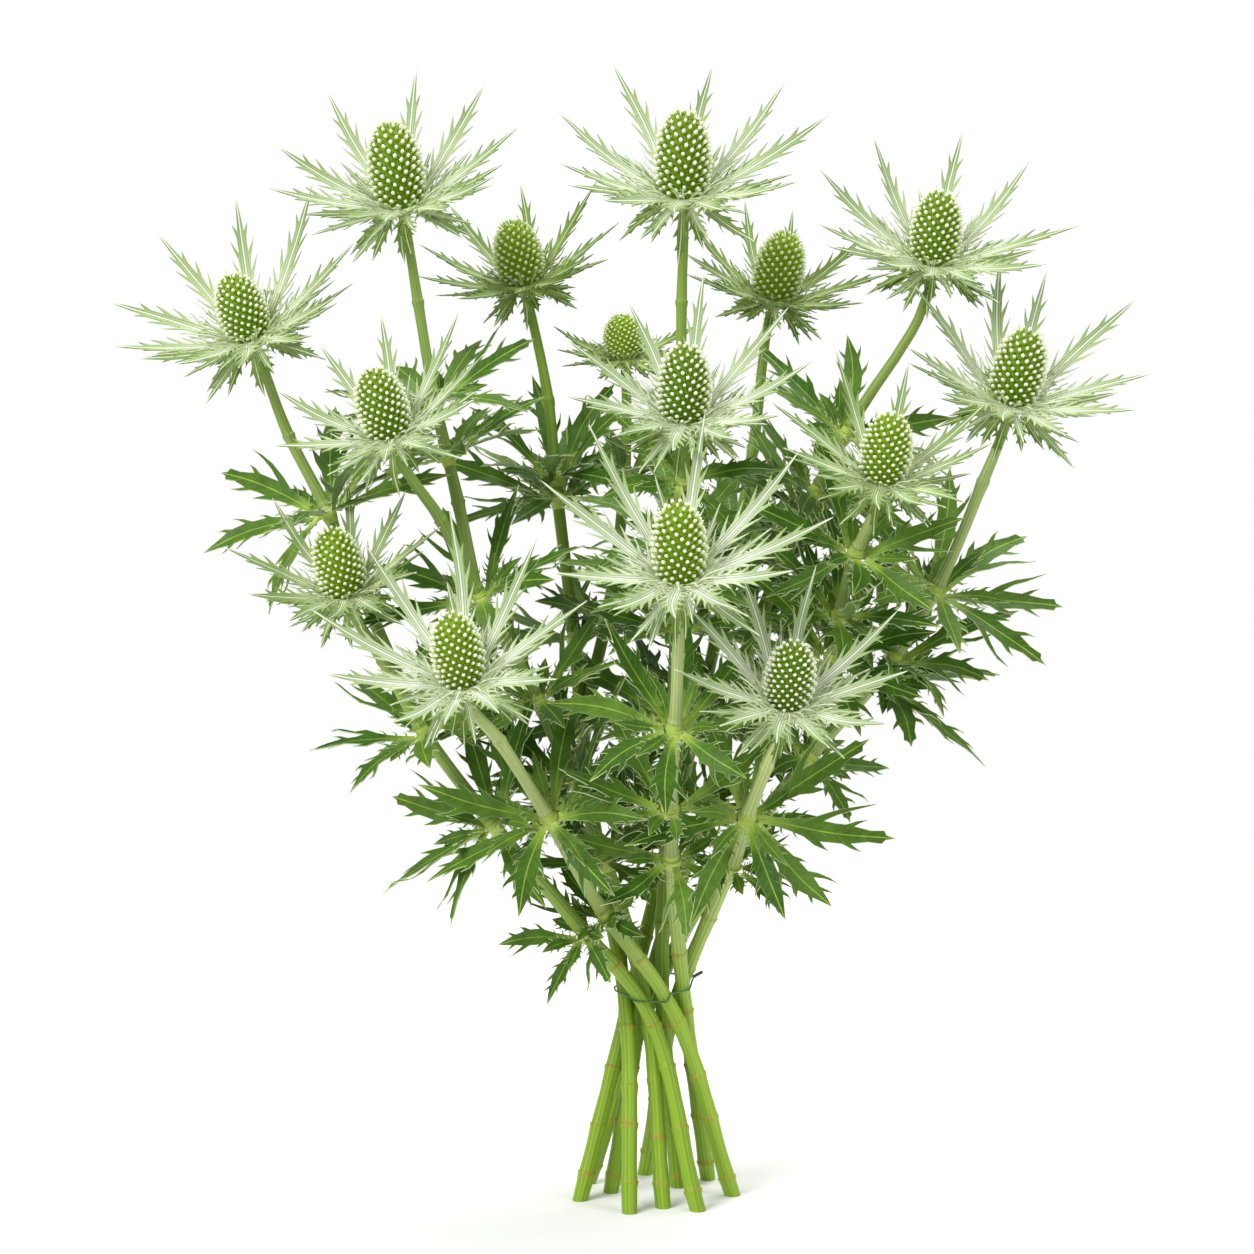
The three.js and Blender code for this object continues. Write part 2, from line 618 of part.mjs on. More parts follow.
// ---------- assembly ----------
const material = (name, color, roughness) =>
  Object.assign(new THREE.MeshStandardMaterial({ color, roughness, metalness: 0 }), { name });
const GREENS = {
  stem: material("stem green", 0x9cb84e, 0.55),
  leaf: material("leaf green", 0x4f7a33, 0.6),
  bract: material("silver bract", 0xcfdcb8, 0.65),
  cone: material("floret green", 0x8fae3f, 0.7),
  wire: material("green tie wire", 0x4c7a45, 0.5),
};

// The bunch stands with its origin on the floor under the middle of its spread.
const bunch = new THREE.Group();
const plant = new THREE.Group();
plant.position.set(MIDDLE.x, MIDDLE.y, 0);
bunch.add(plant);
function addPiece(name, geometry, finish) {
  const mesh = new THREE.Mesh(geometry, finish.clone());
  mesh.name = name;
  plant.add(mesh);
}

// Every limb's curve, its joints and its place among the taken space.
const limbs = {};
const stemOf = {};
for (const [name, stem] of Object.entries(STEMS)) {
  const points = stemPoints(stem);
  const main = limb(points, stem.head);
  const lowJoint = 0.45 + 0.2 * draw(points[0].x);
  limbs[name] = [{ curve: main, joints: [lowJoint, ...stem.path.map((_, i) => i + 2)] }];
  stemOf[stem.head] = name;
  for (const fork of stem.forks ?? []) {
    const curve = limb([points[fork.joint], ...fork.path.map(vec)], fork.head);
    limbs[name].push({ curve, joints: fork.path.map((_, i) => i + 1) });
    stemOf[fork.head] = name;
  }
}
const LIMB_SAMPLES = 4; // rods from one joint to the next
for (const [name, parts] of Object.entries(limbs)) {
  for (const { curve } of parts) {
    const points = [];
    for (let k = 0; k <= curve.last * LIMB_SAMPLES; k++) points.push(curve.at(k / LIMB_SAMPLES));
    const wide = points.map((p) => radiusAt(p.z) + NODE.swell);
    take(points, wide, STEM.neckRadius, null, name);
  }
}

const CONE_SHARES = [0, 0.12, 0.35, 0.6, 0.85, 1]; // rods up a cone
for (const [name, head] of Object.entries({ ...HEADS, bud: BUD })) {
  const axis = headAxis(head);
  const points = CONE_SHARES.map((t) => along(seatOf(head), axis, CONE.length * head.cone * t));
  take(points, CONE_SHARES.map((t) => coneRadius(head.cone, t) + CONE.spike), 0, null, name);
}

// Ruffs first, so that the heads keep their form, then the leaves fit in below them.
function ruffOf(name, head, h) {
  const base = vec(head.at);
  const axis = headAxis(head);
  const frame = frameOf(axis);
  const spread = facing(frame, RUFF_TILT);
  const body = new GrownSkin(base, frame);
  const size = Math.sqrt(head.cone);
  let above = null;
  RUFF.forEach((tier, t) => {
    const root = along(base, axis, tier.height);
    const reach = tier.radius * size;
    const ring = body.roots(root, tier.count, tier.from, reach, tier.rows[0][1] * size, KEEL);
    if (above) body.wall(ring.top, above);
    else body.lid(ring.top, root, true);
    above = ring.bottom;
    ring.roots.forEach((corners, k) => {
      const seed = h * 97 + t * 31 + k * 7 + 1;
      const slot = tier.from + (360 * k) / tier.count;
      const length = tier.length * head.ruff * lengthAt(Math.sin(rad(slot)), tier.shorter);
      const blade = placeBlade({
        root,
        frame,
        spread,
        reach,
        slot,
        turn: slot + BRACT_SPREAD.turn * draw(seed),
        rise: tier.rise + BRACT_SPREAD.rise * draw(seed + 2),
        bends: tier.bends,
        curl: tier.curl,
        length: length * (1 + BRACT_SPREAD.length * draw(seed + 4)),
        rows: tier.rows,
        scale: Math.sqrt(head.ruff),
        own: [name, stemOf[name]],
      });
      body.blade(corners, blade);
    });
  });
  body.lid(above, along(base, axis, RUFF[2].height - KEEL), false);
  return body.geometry();
}

Object.entries(HEADS).forEach(([name, head], h) => {
  addPiece(name + "_ruff", ruffOf(name, head, h), GREENS.bract);
  addPiece(name + "_cone", coneGeometry(head), GREENS.cone);
});

// A whorl of cut leaves: its collar clasps the stem just under a joint.
function whorlOf(whorl, w) {
  const { curve } = limbs[whorl.stem][whorl.fork === undefined ? 0 : whorl.fork + 1];
  const place = whorl.joint - COLLAR.drop / curve.gaps[whorl.joint - 1];
  const centre = curve.at(place);
  const axis = curve.direction(place);
  const frame = frameOf(axis);
  const spread = facing(frame, LEAF.tilt);
  const inner = (radiusAt(centre.z) + GAP) / Math.cos(Math.PI / COLLAR.sides);
  const reach = inner + COLLAR.wall;
  const body = new GrownSkin(centre, frame);
  const ring = body.roots(centre, whorl.lobes, whorl.turn, reach, LEAF.rows[0][1], COLLAR.height);
  const boreTop = body.polygon(centre, inner, COLLAR.sides);
  const boreFoot = body.polygon(along(centre, axis, -COLLAR.height), inner, COLLAR.sides);
  body.wall(ring.top, boreTop);
  body.wall(boreFoot, ring.bottom);
  body.wall(boreTop, boreFoot);
  ring.roots.forEach((corners, k) => {
    const seed = w * 71 + k * 13 + 500;
    const slot = whorl.turn + (360 * k) / whorl.lobes;
    const length = whorl.length * lengthAt(Math.sin(rad(slot)), LEAF.shorter);
    const blade = placeBlade({
      root: centre,
      frame,
      spread,
      reach,
      slot,
      turn: slot + LEAF_SPREAD.turn * draw(seed),
      rise: LEAF.rise + LEAF_SPREAD.rise * draw(seed + 3),
      bends: LEAF.bends,
      curl: LEAF.curl,
      length: length * (1 + LEAF_SPREAD.length * draw(seed + 5)),
      rows: LEAF.rows,
      scale: Math.sqrt(whorl.length / LEAF.fullLength),
      own: ["whorl_" + w, whorl.stem],
    });
    body.blade(corners, blade);
  });
  return body.geometry();
}

const counts = {};
WHORLS.forEach((whorl, w) => {
  counts[whorl.stem] = (counts[whorl.stem] ?? 0) + 1;
  addPiece(whorl.stem + "_leaves_" + counts[whorl.stem], whorlOf(whorl, w), GREENS.leaf);
});

for (const [name, parts] of Object.entries(limbs)) {
  const solids = parts.map(({ curve, joints }, i) => limbSolid(curve, joints, i > 0));
  addPiece(name, geometryOf(solids.reduce((whole, s) => whole.add(s))), GREENS.stem);
}
addPiece("tie", geometryOf(tieSolid(Object.values(limbs).map(([main]) => main.curve))), GREENS.wire);
addPiece("bud", coneGeometry(BUD), GREENS.cone);

export default bunch;
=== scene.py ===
import math

import bmesh
import bpy
import numpy as np
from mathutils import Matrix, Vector


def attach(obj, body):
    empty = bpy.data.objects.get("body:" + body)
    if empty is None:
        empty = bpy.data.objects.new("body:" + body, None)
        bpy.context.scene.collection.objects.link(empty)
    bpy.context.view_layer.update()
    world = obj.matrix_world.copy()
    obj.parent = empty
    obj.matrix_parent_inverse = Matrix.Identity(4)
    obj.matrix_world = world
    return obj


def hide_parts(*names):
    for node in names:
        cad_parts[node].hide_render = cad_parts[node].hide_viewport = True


# A spiral-tied bunch of cut sea holly: ten leafy stems, fifteen heads and a bud.
# The plant is laid out in millimetres and made in metres, +Z up, with its front towards -Y.
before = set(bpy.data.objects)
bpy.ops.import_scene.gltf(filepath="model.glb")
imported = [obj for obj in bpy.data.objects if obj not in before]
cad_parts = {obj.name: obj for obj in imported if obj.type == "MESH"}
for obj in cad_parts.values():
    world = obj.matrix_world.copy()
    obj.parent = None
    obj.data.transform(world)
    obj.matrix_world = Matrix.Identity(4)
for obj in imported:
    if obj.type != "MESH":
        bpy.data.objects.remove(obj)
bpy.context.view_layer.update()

MM = 0.001
TINY = 1e-6

# ---------- driving dimensions, as in the solids ----------
STEM = {"foot_radius": 3.8, "neck_radius": 2.7, "neck_height": 420}
JOINT_SWELL = 0.9
TIE = {"height": 95, "waist_radius": 14, "gap": 0.7}
FOOT_RING = {"outer": 36, "outer_turn": 66}
GAP = 0.35  # between a piece and what it is seated on
MIDDLE = np.array([12.0, 9.0, 0.0])  # where the layout's own zero point stands in the part
CONE = {"length": 37, "radius": 9.8, "widest": 0.38, "foot_share": 0.76, "spike": 2.8}
COLLAR = {"wall": 1.6, "sides": 6, "drop": 5}
KEEL = 1.3  # half the thickness of the room that a blade takes

# Half width of a blade at each share of its length, for the room that it takes.
BRACT_ROWS = [[0, 1.3], [0.38, 3.5], [0.41, 1.9], [0.64, 2.8], [0.67, 1.4]]
SHORT_ROWS = [[0, 1.2], [0.48, 3.1], [0.52, 1.5]]
SMALL_ROWS = [[0, 1.2], [0.35, 2.3]]
LOBE_ROWS = [[0, 1.6], [0.38, 5.2], [0.42, 2.8], [0.63, 5.6], [0.67, 2.8]]
RUFF = [
    dict(count=10, height=4.8, radius=8.2, length=61, shorter=0.36, rise=26, curl=12, rows=BRACT_ROWS,
         start=10, bends=[0, 7, 14, 21, 28]),
    dict(count=5, height=3.2, radius=8.8, length=43, shorter=0.2, rise=2, curl=4, rows=SHORT_ROWS,
         start=24, bends=[0, 5, -5]),
    dict(count=5, height=1.6, radius=8.4, length=26, shorter=0, rise=-30, curl=-10, rows=SMALL_ROWS,
         start=48, bends=[0, -8, -16, -24]),
]
RUFF_TILT = 30  # degrees by which a ruff faces further forward than its head
LEAF = dict(rise=14, tilt=34, curl=-26, shorter=0.12, full_length=50, rows=LOBE_ROWS,
            bends=[0, 8, -8, 16, -16, 26, -26, 36, -36])
# A blade with no room is turned, bent or shortened with the least effort that clears it, or left out.
TURNS = [0, 6, -6, 12, -12, 18, -18]
SHARES = [1, 0.85, 0.7, 0.55, 0.42, 0.3]
EFFORT = {"turn": 7, "rise": 8, "length": 14}
SPINE_STEPS = 5
CLEAR = 0.7  # between a blade and all else
OWN_STEP = 1  # first steps of a blade, which may touch its own head or whorl and its stem
ROD_REACH = 28  # added to a blade's reach when what lies near it is looked up
RODS = 4  # along a stem, for each stretch between its points
BRACT_SPREAD = {"turn": 6, "rise": 4, "length": 0.1}
LEAF_SPREAD = {"turn": 8, "rise": 9, "length": 0.12}
BACK_LENGTH = 0.2  # by how much blades towards the back are longer

# ---------- the plant ----------
# Heads: receptacle, lean to the right, nod to the front, size of cone and ruff, how green it is, and
# how lime its cone is where that differs.
HEADS = {
    "head_01": dict(at=[-114, 26, 446], lean=-9, nod=10, cone=1.02, ruff=0.93, green=0.35),
    "head_02": dict(at=[-60, 74, 410], lean=-12, nod=2, cone=0.82, ruff=0.76, green=0.9),
    "head_03": dict(at=[13, 12, 450], lean=-1, nod=10, cone=1.02, ruff=1.0, green=0.3),
    "head_04": dict(at=[54, 70, 403], lean=12, nod=2, cone=0.86, ruff=0.74, green=0.85),
    "head_05": dict(at=[125, 16, 420], lean=5, nod=9, cone=0.87, ruff=0.89, green=0.35),
    "head_06": dict(at=[158, -8, 358], lean=12, nod=10, cone=0.9, ruff=0.98, green=0.3),
    "head_07": dict(at=[-179, 0, 387], lean=-19, nod=10, cone=0.8, ruff=0.98, green=0.4),
    "head_08": dict(at=[-114, -42, 345], lean=-16, nod=12, cone=0.82, ruff=0.82, green=0.3),
    "head_09": dict(at=[-14, 76, 376], lean=-4, nod=0, cone=0.54, ruff=0.5, green=1.0),
    "head_10": dict(at=[13, -42, 352], lean=0, nod=12, cone=0.88, ruff=0.85, green=0.15),
    "head_11": dict(at=[98, -52, 326], lean=8, nod=13, cone=0.8, ruff=0.76, green=0.55),
    "head_12": dict(at=[-135, -34, 275], lean=-14, nod=13, cone=0.8, ruff=0.74, green=0.6),
    "head_13": dict(at=[11, -86, 286], lean=-2, nod=16, cone=0.9, ruff=0.97, green=0.0, lime=0.5),
    "head_14": dict(at=[-82, -74, 240], lean=-9, nod=17, cone=0.84, ruff=0.93, green=0.1, lime=0.5),
    "head_15": dict(at=[56, -80, 231], lean=7, nod=17, cone=0.77, ruff=0.84, green=0.15),
}
BUD = dict(at=[73, 34, 304], lean=10, nod=0, cone=0.55, slim=0.6, green=1.0)

# Stems: a foot and a waist point, or an angle on the waist, then the joints up to the head.
STEMS = {
    "stem_01": dict(waist=-71, path=[[-24, -21, 136], [-49, -43, 184], [-68, -62, 218]], head="head_14"),
    "stem_02": dict(
        waist=-123, path=[[-34, -20, 128], [-75, -32, 180], [-105, -31, 221], [-121, -31, 250]],
        head="head_12",
        forks=[dict(joint=4, path=[[-131, -12, 277], [-149, -2, 317], [-165, 1, 348]], head="head_07")]),
    "stem_03": dict(
        foot=[4, -25], cross=[-5, -4],
        path=[[-24, -7, 160], [-55, -13, 234], [-80, -18, 281], [-95, -28, 312]], head="head_08",
        forks=[dict(joint=4, path=[[-89, 4, 318], [-101, 20, 367], [-108, 25, 408]], head="head_01")]),
    "stem_04": dict(
        waist=-174, path=[[-25, 18, 150], [-34, 38, 214], [-38, 50, 256], [-46, 62, 320], [-50, 68, 362]],
        head="head_02", forks=[dict(joint=3, path=[[-22, 56, 262], [-15, 68, 315]], head="head_09")]),
    "stem_05": dict(
        waist=134, path=[[9, 32, 170], [30, 50, 258], [46, 62, 340]], head="head_04",
        forks=[dict(joint=3, path=[[56, 46, 284]], head="bud")]),
    "stem_06": dict(
        foot=[-20, 2], cross=[-3.1, 5.2], path=[[24, 16, 178], [50, 22, 268], [71, 20, 317], [89, 17, 352]],
        head="head_05"),
    "stem_07": dict(
        waist=83,
        path=[[27, 16, 142], [51, 10, 176], [73, 4, 205], [104, -2, 242], [128, -6, 282], [147, -8, 328]],
        head="head_06", forks=[dict(joint=4, path=[[80, -20, 254], [87, -38, 294]], head="head_11")]),
    "stem_08": dict(
        waist=31, path=[[25, -6, 130], [36, -25, 160], [42, -45, 185], [49, -63, 207]], head="head_15"),
    "stem_09": dict(
        waist=-20, path=[[9, -26, 141], [7, -52, 190], [9, -71, 228], [10, -81, 258]], head="head_13"),
    "stem_10": dict(
        foot=[11, 12], cross=[3.5, 0.2], path=[[6, 3, 182], [10, 2, 264], [12, 0, 306], [13, -24, 333]],
        head="head_10", forks=[dict(joint=4, path=[[12, 13, 358], [12, 14, 408]], head="head_03")]),
}

# Whorls of leaves: stem and fork, the joint they clasp, lobes, their length and first turn.
WHORLS = [
    dict(stem="stem_01", joint=3, lobes=8, length=52, turn=10),
    dict(stem="stem_02", joint=2, lobes=6, length=34, turn=150),
    dict(stem="stem_02", joint=3, lobes=7, length=52, turn=175),
    dict(stem="stem_02", joint=4, lobes=7, length=44, turn=160),
    dict(stem="stem_02", fork=0, joint=2, lobes=8, length=56, turn=170),
    dict(stem="stem_03", joint=4, lobes=8, length=50, turn=0),
    dict(stem="stem_03", fork=0, joint=2, lobes=8, length=46, turn=20),
    dict(stem="stem_04", joint=4, lobes=7, length=50, turn=40),
    dict(stem="stem_04", joint=5, lobes=8, length=50, turn=165),
    dict(stem="stem_05", joint=3, lobes=8, length=52, turn=30),
    dict(stem="stem_06", joint=5, lobes=7, length=44, turn=100),
    dict(stem="stem_07", joint=5, lobes=7, length=54, turn=-10),
    dict(stem="stem_07", joint=6, lobes=8, length=54, turn=15),
    dict(stem="stem_07", fork=0, joint=1, lobes=8, length=44, turn=50),
    dict(stem="stem_08", joint=4, lobes=9, length=56, turn=5),
    dict(stem="stem_09", joint=4, lobes=8, length=48, turn=170),
    dict(stem="stem_10", joint=2, lobes=7, length=46, turn=30),
    dict(stem="stem_10", joint=4, lobes=7, length=44, turn=0),
]
# Small inner leaves that only the looks have, between the whorls, and their rise where it differs.
INNER_WHORLS = [
    dict(stem="stem_05", joint=2, lobes=6, length=40, turn=20),
    dict(stem="stem_06", joint=3, lobes=7, length=46, turn=60),
    dict(stem="stem_06", joint=4, lobes=6, length=42, turn=20),
    dict(stem="stem_10", joint=3, lobes=8, length=48, turn=50),
    dict(stem="stem_04", joint=3, lobes=7, length=44, turn=80),
    dict(stem="stem_09", joint=3, lobes=7, length=44, turn=20),
    dict(stem="stem_03", joint=3, lobes=7, length=42, turn=30),
    dict(stem="stem_10", joint=5, lobes=6, length=36, turn=70),
    dict(stem="stem_07", joint=4, lobes=5, length=36, turn=35),
    dict(stem="stem_01", joint=2, lobes=4, length=26, turn=20),
    dict(stem="stem_08", joint=3, lobes=4, length=26, turn=60),
    dict(stem="stem_05", joint=2.5, lobes=8, length=48, turn=10),
    dict(stem="stem_06", joint=2.5, lobes=8, length=48, turn=30),
    dict(stem="stem_10", joint=2.5, lobes=8, length=48, turn=0),
    dict(stem="stem_04", joint=2.5, lobes=7, length=46, turn=50),
    dict(stem="stem_05", joint=3.5, lobes=8, length=48, turn=60),
    dict(stem="stem_06", joint=3.5, lobes=7, length=46, turn=20),
    dict(stem="stem_09", joint=2.5, lobes=6, length=40, turn=45),
    dict(stem="stem_04", fork=0, joint=1, lobes=7, length=46, turn=10),
    dict(stem="stem_10", joint=3.5, lobes=7, length=44, turn=15),
    dict(stem="stem_03", joint=2, lobes=6, length=40, turn=110),
    dict(stem="stem_04", joint=5.25, lobes=7, length=46, turn=0, rise=42),
    dict(stem="stem_07", fork=0, joint=1.5, lobes=7, length=46, turn=0, rise=42),
    dict(stem="stem_07", joint=5.25, lobes=7, length=46, turn=0, rise=42),
    dict(stem="stem_03", joint=2.5, lobes=7, length=46, turn=26, rise=42),
    dict(stem="stem_06", joint=4.25, lobes=7, length=46, turn=56),
    dict(stem="stem_07", fork=0, joint=2.25, lobes=7, length=46, turn=76),
    dict(stem="stem_03", fork=0, joint=1.5, lobes=7, length=46, turn=26),
    dict(stem="stem_04", fork=0, joint=2.25, lobes=7, length=46, turn=0, rise=42),
]


# ---------- small helpers ----------
def draw(seed):
    """A repeatable draw between -1 and 1."""
    s = math.sin(seed * 12.9898 + 4.1) * 43758.5453
    return 2 * (s - math.floor(s)) - 1


def unit(v):
    return v / np.linalg.norm(v)


def clamp01(x):
    return min(1.0, max(0.0, x))


def frame_of(axis):
    """The axis of a stem's end or joint, then the directions to the back and to the right."""
    up = unit(axis)
    back = unit(np.array([0.0, 1.0, 0.0]) - up * up[1])
    return up, back, np.cross(back, up)


def facing(place, degrees):
    """The same frame with its back raised, so that what spreads from it faces further forward."""
    up, back, right = place
    c = math.cos(math.radians(degrees))
    s = math.sin(math.radians(degrees))
    return up * c - back * s, back * c + up * s, right


def out_of(place, turn):
    return place[2] * math.cos(math.radians(turn)) + place[1] * math.sin(math.radians(turn))


def head_axis(head):
    lean = math.tan(math.radians(head["lean"]))
    nod = math.tan(math.radians(head["nod"]))
    return unit(np.array([lean, -nod, 1.0]))


# ---------- stem curves ----------
class Limb:
    """A smooth curve through its points, which are its whole-number parameters."""

    def __init__(self, points, end_direction):
        self.points = [np.array(p, float) for p in points]
        self.last = len(points) - 1
        steps = [b - a for a, b in zip(self.points, self.points[1:])]
        self.gaps = [float(np.linalg.norm(s)) for s in steps]
        slopes = [s / g for s, g in zip(steps, self.gaps)]
        self.tangents = [slopes[0]]
        for i in range(1, self.last):
            before, after = self.gaps[i - 1], self.gaps[i]
            self.tangents.append((slopes[i - 1] * after + slopes[i] * before) / (before + after))
        self.tangents.append(end_direction)

    def at(self, u):
        i = min(self.last - 1, math.floor(u))
        f = u - i
        near = self.points[i] * (2 * f**3 - 3 * f**2 + 1) + self.points[i + 1] * (3 * f**2 - 2 * f**3)
        bend = self.tangents[i] * (f**3 - 2 * f**2 + f) + self.tangents[i + 1] * (f**3 - f**2)
        return near + bend * self.gaps[i]

    def direction(self, u):
        d = 0.002
        return unit(self.at(min(self.last, u + d)) - self.at(max(0, u - d)))


def stem_points(stem):
    joints = [np.array(p, float) for p in stem["path"]]
    if "foot" in stem:
        foot = np.array([*stem["foot"], 0.0])
        waist = np.array([*stem["cross"], TIE["height"]], float)
        return [foot, waist, *joints]
    at_waist = math.radians(stem["waist"])
    at_foot = math.radians(stem["waist"] + FOOT_RING["outer_turn"])
    foot = np.array([math.cos(at_foot), math.sin(at_foot), 0.0]) * FOOT_RING["outer"]
    waist = np.array([math.cos(at_waist), math.sin(at_waist), 0.0]) * TIE["waist_radius"]
    return [foot, waist + [0, 0, TIE["height"]], *joints]


def limb_to(points, head_name):
    head = BUD if head_name == "bud" else HEADS[head_name]
    axis = head_axis(head)
    return Limb([*points, np.array(head["at"]) - axis * GAP], axis)


def radius_at(z):
    share = clamp01(z / STEM["neck_height"])
    return STEM["foot_radius"] + (STEM["neck_radius"] - STEM["foot_radius"]) * share


def grow_limbs():
    """Every stem and fork as a curve with its joints, and the stem that carries each head."""
    limbs, stem_of = {}, {}
    for name, stem in STEMS.items():
        points = stem_points(stem)
        main = limb_to(points, stem["head"])
        limbs[name] = [(main, list(range(2, 2 + len(stem["path"]))))]
        stem_of[stem["head"]] = name
        for fork in stem.get("forks", []):
            curve = limb_to([points[fork["joint"]], *fork["path"]], fork["head"])
            limbs[name].append((curve, list(range(1, 1 + len(fork["path"])))))
            stem_of[fork["head"]] = name
    return limbs, stem_of


def cone_radius(size, t):
    """Radius of a cone at a share of its height: narrower at its foot, with a round top."""
    widest = CONE["widest"]
    if t < widest:
        full = 1 - (1 - CONE["foot_share"]) * (1 - t / widest) ** 2
    else:
        full = math.sqrt(max(0.0, 1 - ((t - widest) / (1 - widest)) ** 2))
    return CONE["radius"] * math.sqrt(size) * full


def seat_of(head):
    lift = RUFF[0]["height"] + GAP if "ruff" in head else 0
    return np.array(head["at"], float) + head_axis(head) * lift


# ---------- keeping blades clear of each other ----------
class Taken:
    """Rods of taken space, each with an oval section as wide as a blade and as thin as its keel."""

    ROOM = 12000

    def __init__(self):
        self.count = 0
        self.a = np.zeros((self.ROOM, 3))
        self.b = np.zeros((self.ROOM, 3))
        self.side = np.zeros((self.ROOM, 3))
        self.round = np.zeros(self.ROOM, bool)
        self.wide = np.zeros(self.ROOM)
        self.thin = np.zeros(self.ROOM)
        self.owner = np.empty(self.ROOM, object)

    def take(self, points, wide, thin, side, owner):
        for i in range(1, len(points)):
            k = self.count
            self.a[k], self.b[k] = points[i - 1], points[i]
            self.wide[k], self.thin[k], self.owner[k] = wide[i - 1], thin, owner
            self.round[k] = side is None
            if side is not None:
                self.side[k] = side
            self.count += 1

    def near(self, root, reach):
        n = self.count
        middle = (self.a[:n] + self.b[:n]) / 2
        return np.flatnonzero(np.linalg.norm(middle - root, axis=1) < reach)


def dot(p, q):
    return (p * q).sum(-1)


def is_clear(taken, near, spine, side, wide, own):
    """Whether a spine clears all rods near it, its own ones only from where it has left its root."""
    p, q = spine[:-1, None], spine[1:, None]
    a, b = taken.a[near][None], taken.b[near][None]
    d1, d2, w = q - p, b - a, p - a
    aa, ee, bb, cc, ff = dot(d1, d1), dot(d2, d2), dot(d1, d2), dot(d1, w), dot(d2, w)
    den = aa * ee - bb * bb
    s = np.where(den > 1e-9, np.clip((bb * ff - cc * ee) / np.maximum(den, 1e-9), 0, 1), 0)
    t = (bb * s + ff) / ee
    s = np.where(t < 0, np.clip(-cc / aa, 0, 1), np.where(t > 1, np.clip((bb - cc) / aa, 0, 1), s))
    t = np.clip(t, 0, 1)
    way = p + d1 * s[..., None] - a - d2 * t[..., None]
    gap = np.linalg.norm(way, axis=-1)
    width, rod = wide[:, None], taken.wide[near][None]
    tested = gap <= width + rod + CLEAR
    is_own = np.isin(taken.owner[near], own)
    tested[:OWN_STEP, is_own] = False
    if not tested.any():
        return True
    if (gap[tested] < CLEAR).any():
        return False
    way = way / np.maximum(gap, 1e-12)[..., None]
    across = dot(way, side) ** 2
    reach = np.sqrt(width**2 * across + KEEL**2 * (1 - np.minimum(1, across)))
    across = dot(way, taken.side[near][None]) ** 2
    flat = np.sqrt(rod**2 * across + taken.thin[near][None] ** 2 * (1 - np.minimum(1, across)))
    reach = reach + np.where(taken.round[near][None], rod, flat)
    return not (gap < reach + CLEAR)[tested].any()


def spine_from(start, place, turn, rise, curl, length):
    """The spine of a blade that sets out at a turn and rise, bending by its curl."""
    out = out_of(place, turn)
    spine = [start]
    for i in range(SPINE_STEPS):
        e = math.radians(rise + curl * ((i + 0.5) / SPINE_STEPS - 0.4))
        spine.append(spine[i] + (out * math.cos(e) + place[0] * math.sin(e)) * length / SPINE_STEPS)
    return np.array(spine), np.cross(out, place[0])


def width_at(rows, share):
    later = [k for k, (s, _) in enumerate(rows) if s > share]
    s1, w1 = rows[later[0]] if later else (1, 0)
    s0, w0 = rows[later[0] - 1] if later else rows[-1]
    return w0 + (w1 - w0) * (share - s0) / (s1 - s0)


def widest_of(rows, scale, step):
    low, high = step / SPINE_STEPS, (step + 1) / SPINE_STEPS
    inside = [w for s, w in rows if low < s < high]
    return scale * max(width_at(rows, low), width_at(rows, high) if high < 1 else 0, *inside)


def effort(turn, rise, share):
    """How much a change of turn, rise and share of its length does to a blade."""
    return abs(turn) / EFFORT["turn"] + abs(rise) / EFFORT["rise"] + (1 - share) * EFFORT["length"]


def ways_with(bends):
    """Ways to bend a blade clear, the smallest change first."""
    ways = [(turn, rise, share) for turn in TURNS for rise in bends for share in SHARES]
    return sorted(ways, key=lambda way: (effort(*way), way[0], way[1]))


def length_at(to_back, shorter):
    return 1 + BACK_LENGTH * clamp01(to_back) - shorter * clamp01(-to_back)


def place_blade(taken, root, place, spread, reach, slot, turn, rise, bends, curl, length, rows, scale, own):
    """One blade clear of all that is there: its spine and side, or nothing if there is no room."""
    wide = np.array([widest_of(rows, scale, i) for i in range(SPINE_STEPS)])
    near = taken.near(root, reach + length + ROD_REACH)
    start = root + out_of(place, slot) * reach
    for more_turn, more_rise, share in ways_with(bends):
        spine, side = spine_from(start, spread, turn + more_turn, rise + more_rise, curl, length * share)
        if is_clear(taken, near, spine, side, wide, own):
            taken.take(spine, wide, KEEL, side, own[0])
            return dict(spine=spine, side=side, scale=scale)
    return None


# ---------- growing the whole plant ----------
def ruff_blades(taken, name, head, h, stem_of):
    """The bracts of a ruff, tier by tier."""
    base = np.array(head["at"], float)
    axis = head_axis(head)
    place = frame_of(axis)
    spread = facing(place, RUFF_TILT)
    size = math.sqrt(head["cone"])
    tiers = []
    for t, tier in enumerate(RUFF):
        blades = []
        for k in range(tier["count"]):
            seed = h * 97 + t * 31 + k * 7 + 1
            slot = tier["start"] + 360 * k / tier["count"]
            length = tier["length"] * head["ruff"] * length_at(math.sin(math.radians(slot)), tier["shorter"])
            turn = slot + BRACT_SPREAD["turn"] * draw(seed)
            rise = tier["rise"] + BRACT_SPREAD["rise"] * draw(seed + 2)
            length *= 1 + BRACT_SPREAD["length"] * draw(seed + 4)
            blade = place_blade(
                taken, base + axis * tier["height"], place, spread, tier["radius"] * size, slot, turn, rise,
                tier["bends"], tier["curl"], length, tier["rows"], math.sqrt(head["ruff"]),
                [name, stem_of[name]])
            if blade:
                blades.append(dict(blade, seed=seed))
        tiers.append(blades)
    return tiers


def whorl_place(limbs, whorl):
    curve = limbs[whorl["stem"]][whorl["fork"] + 1 if "fork" in whorl else 0][0]
    u = whorl["joint"] - COLLAR["drop"] / curve.gaps[math.ceil(whorl["joint"]) - 1]
    return curve.at(u), curve.direction(u)


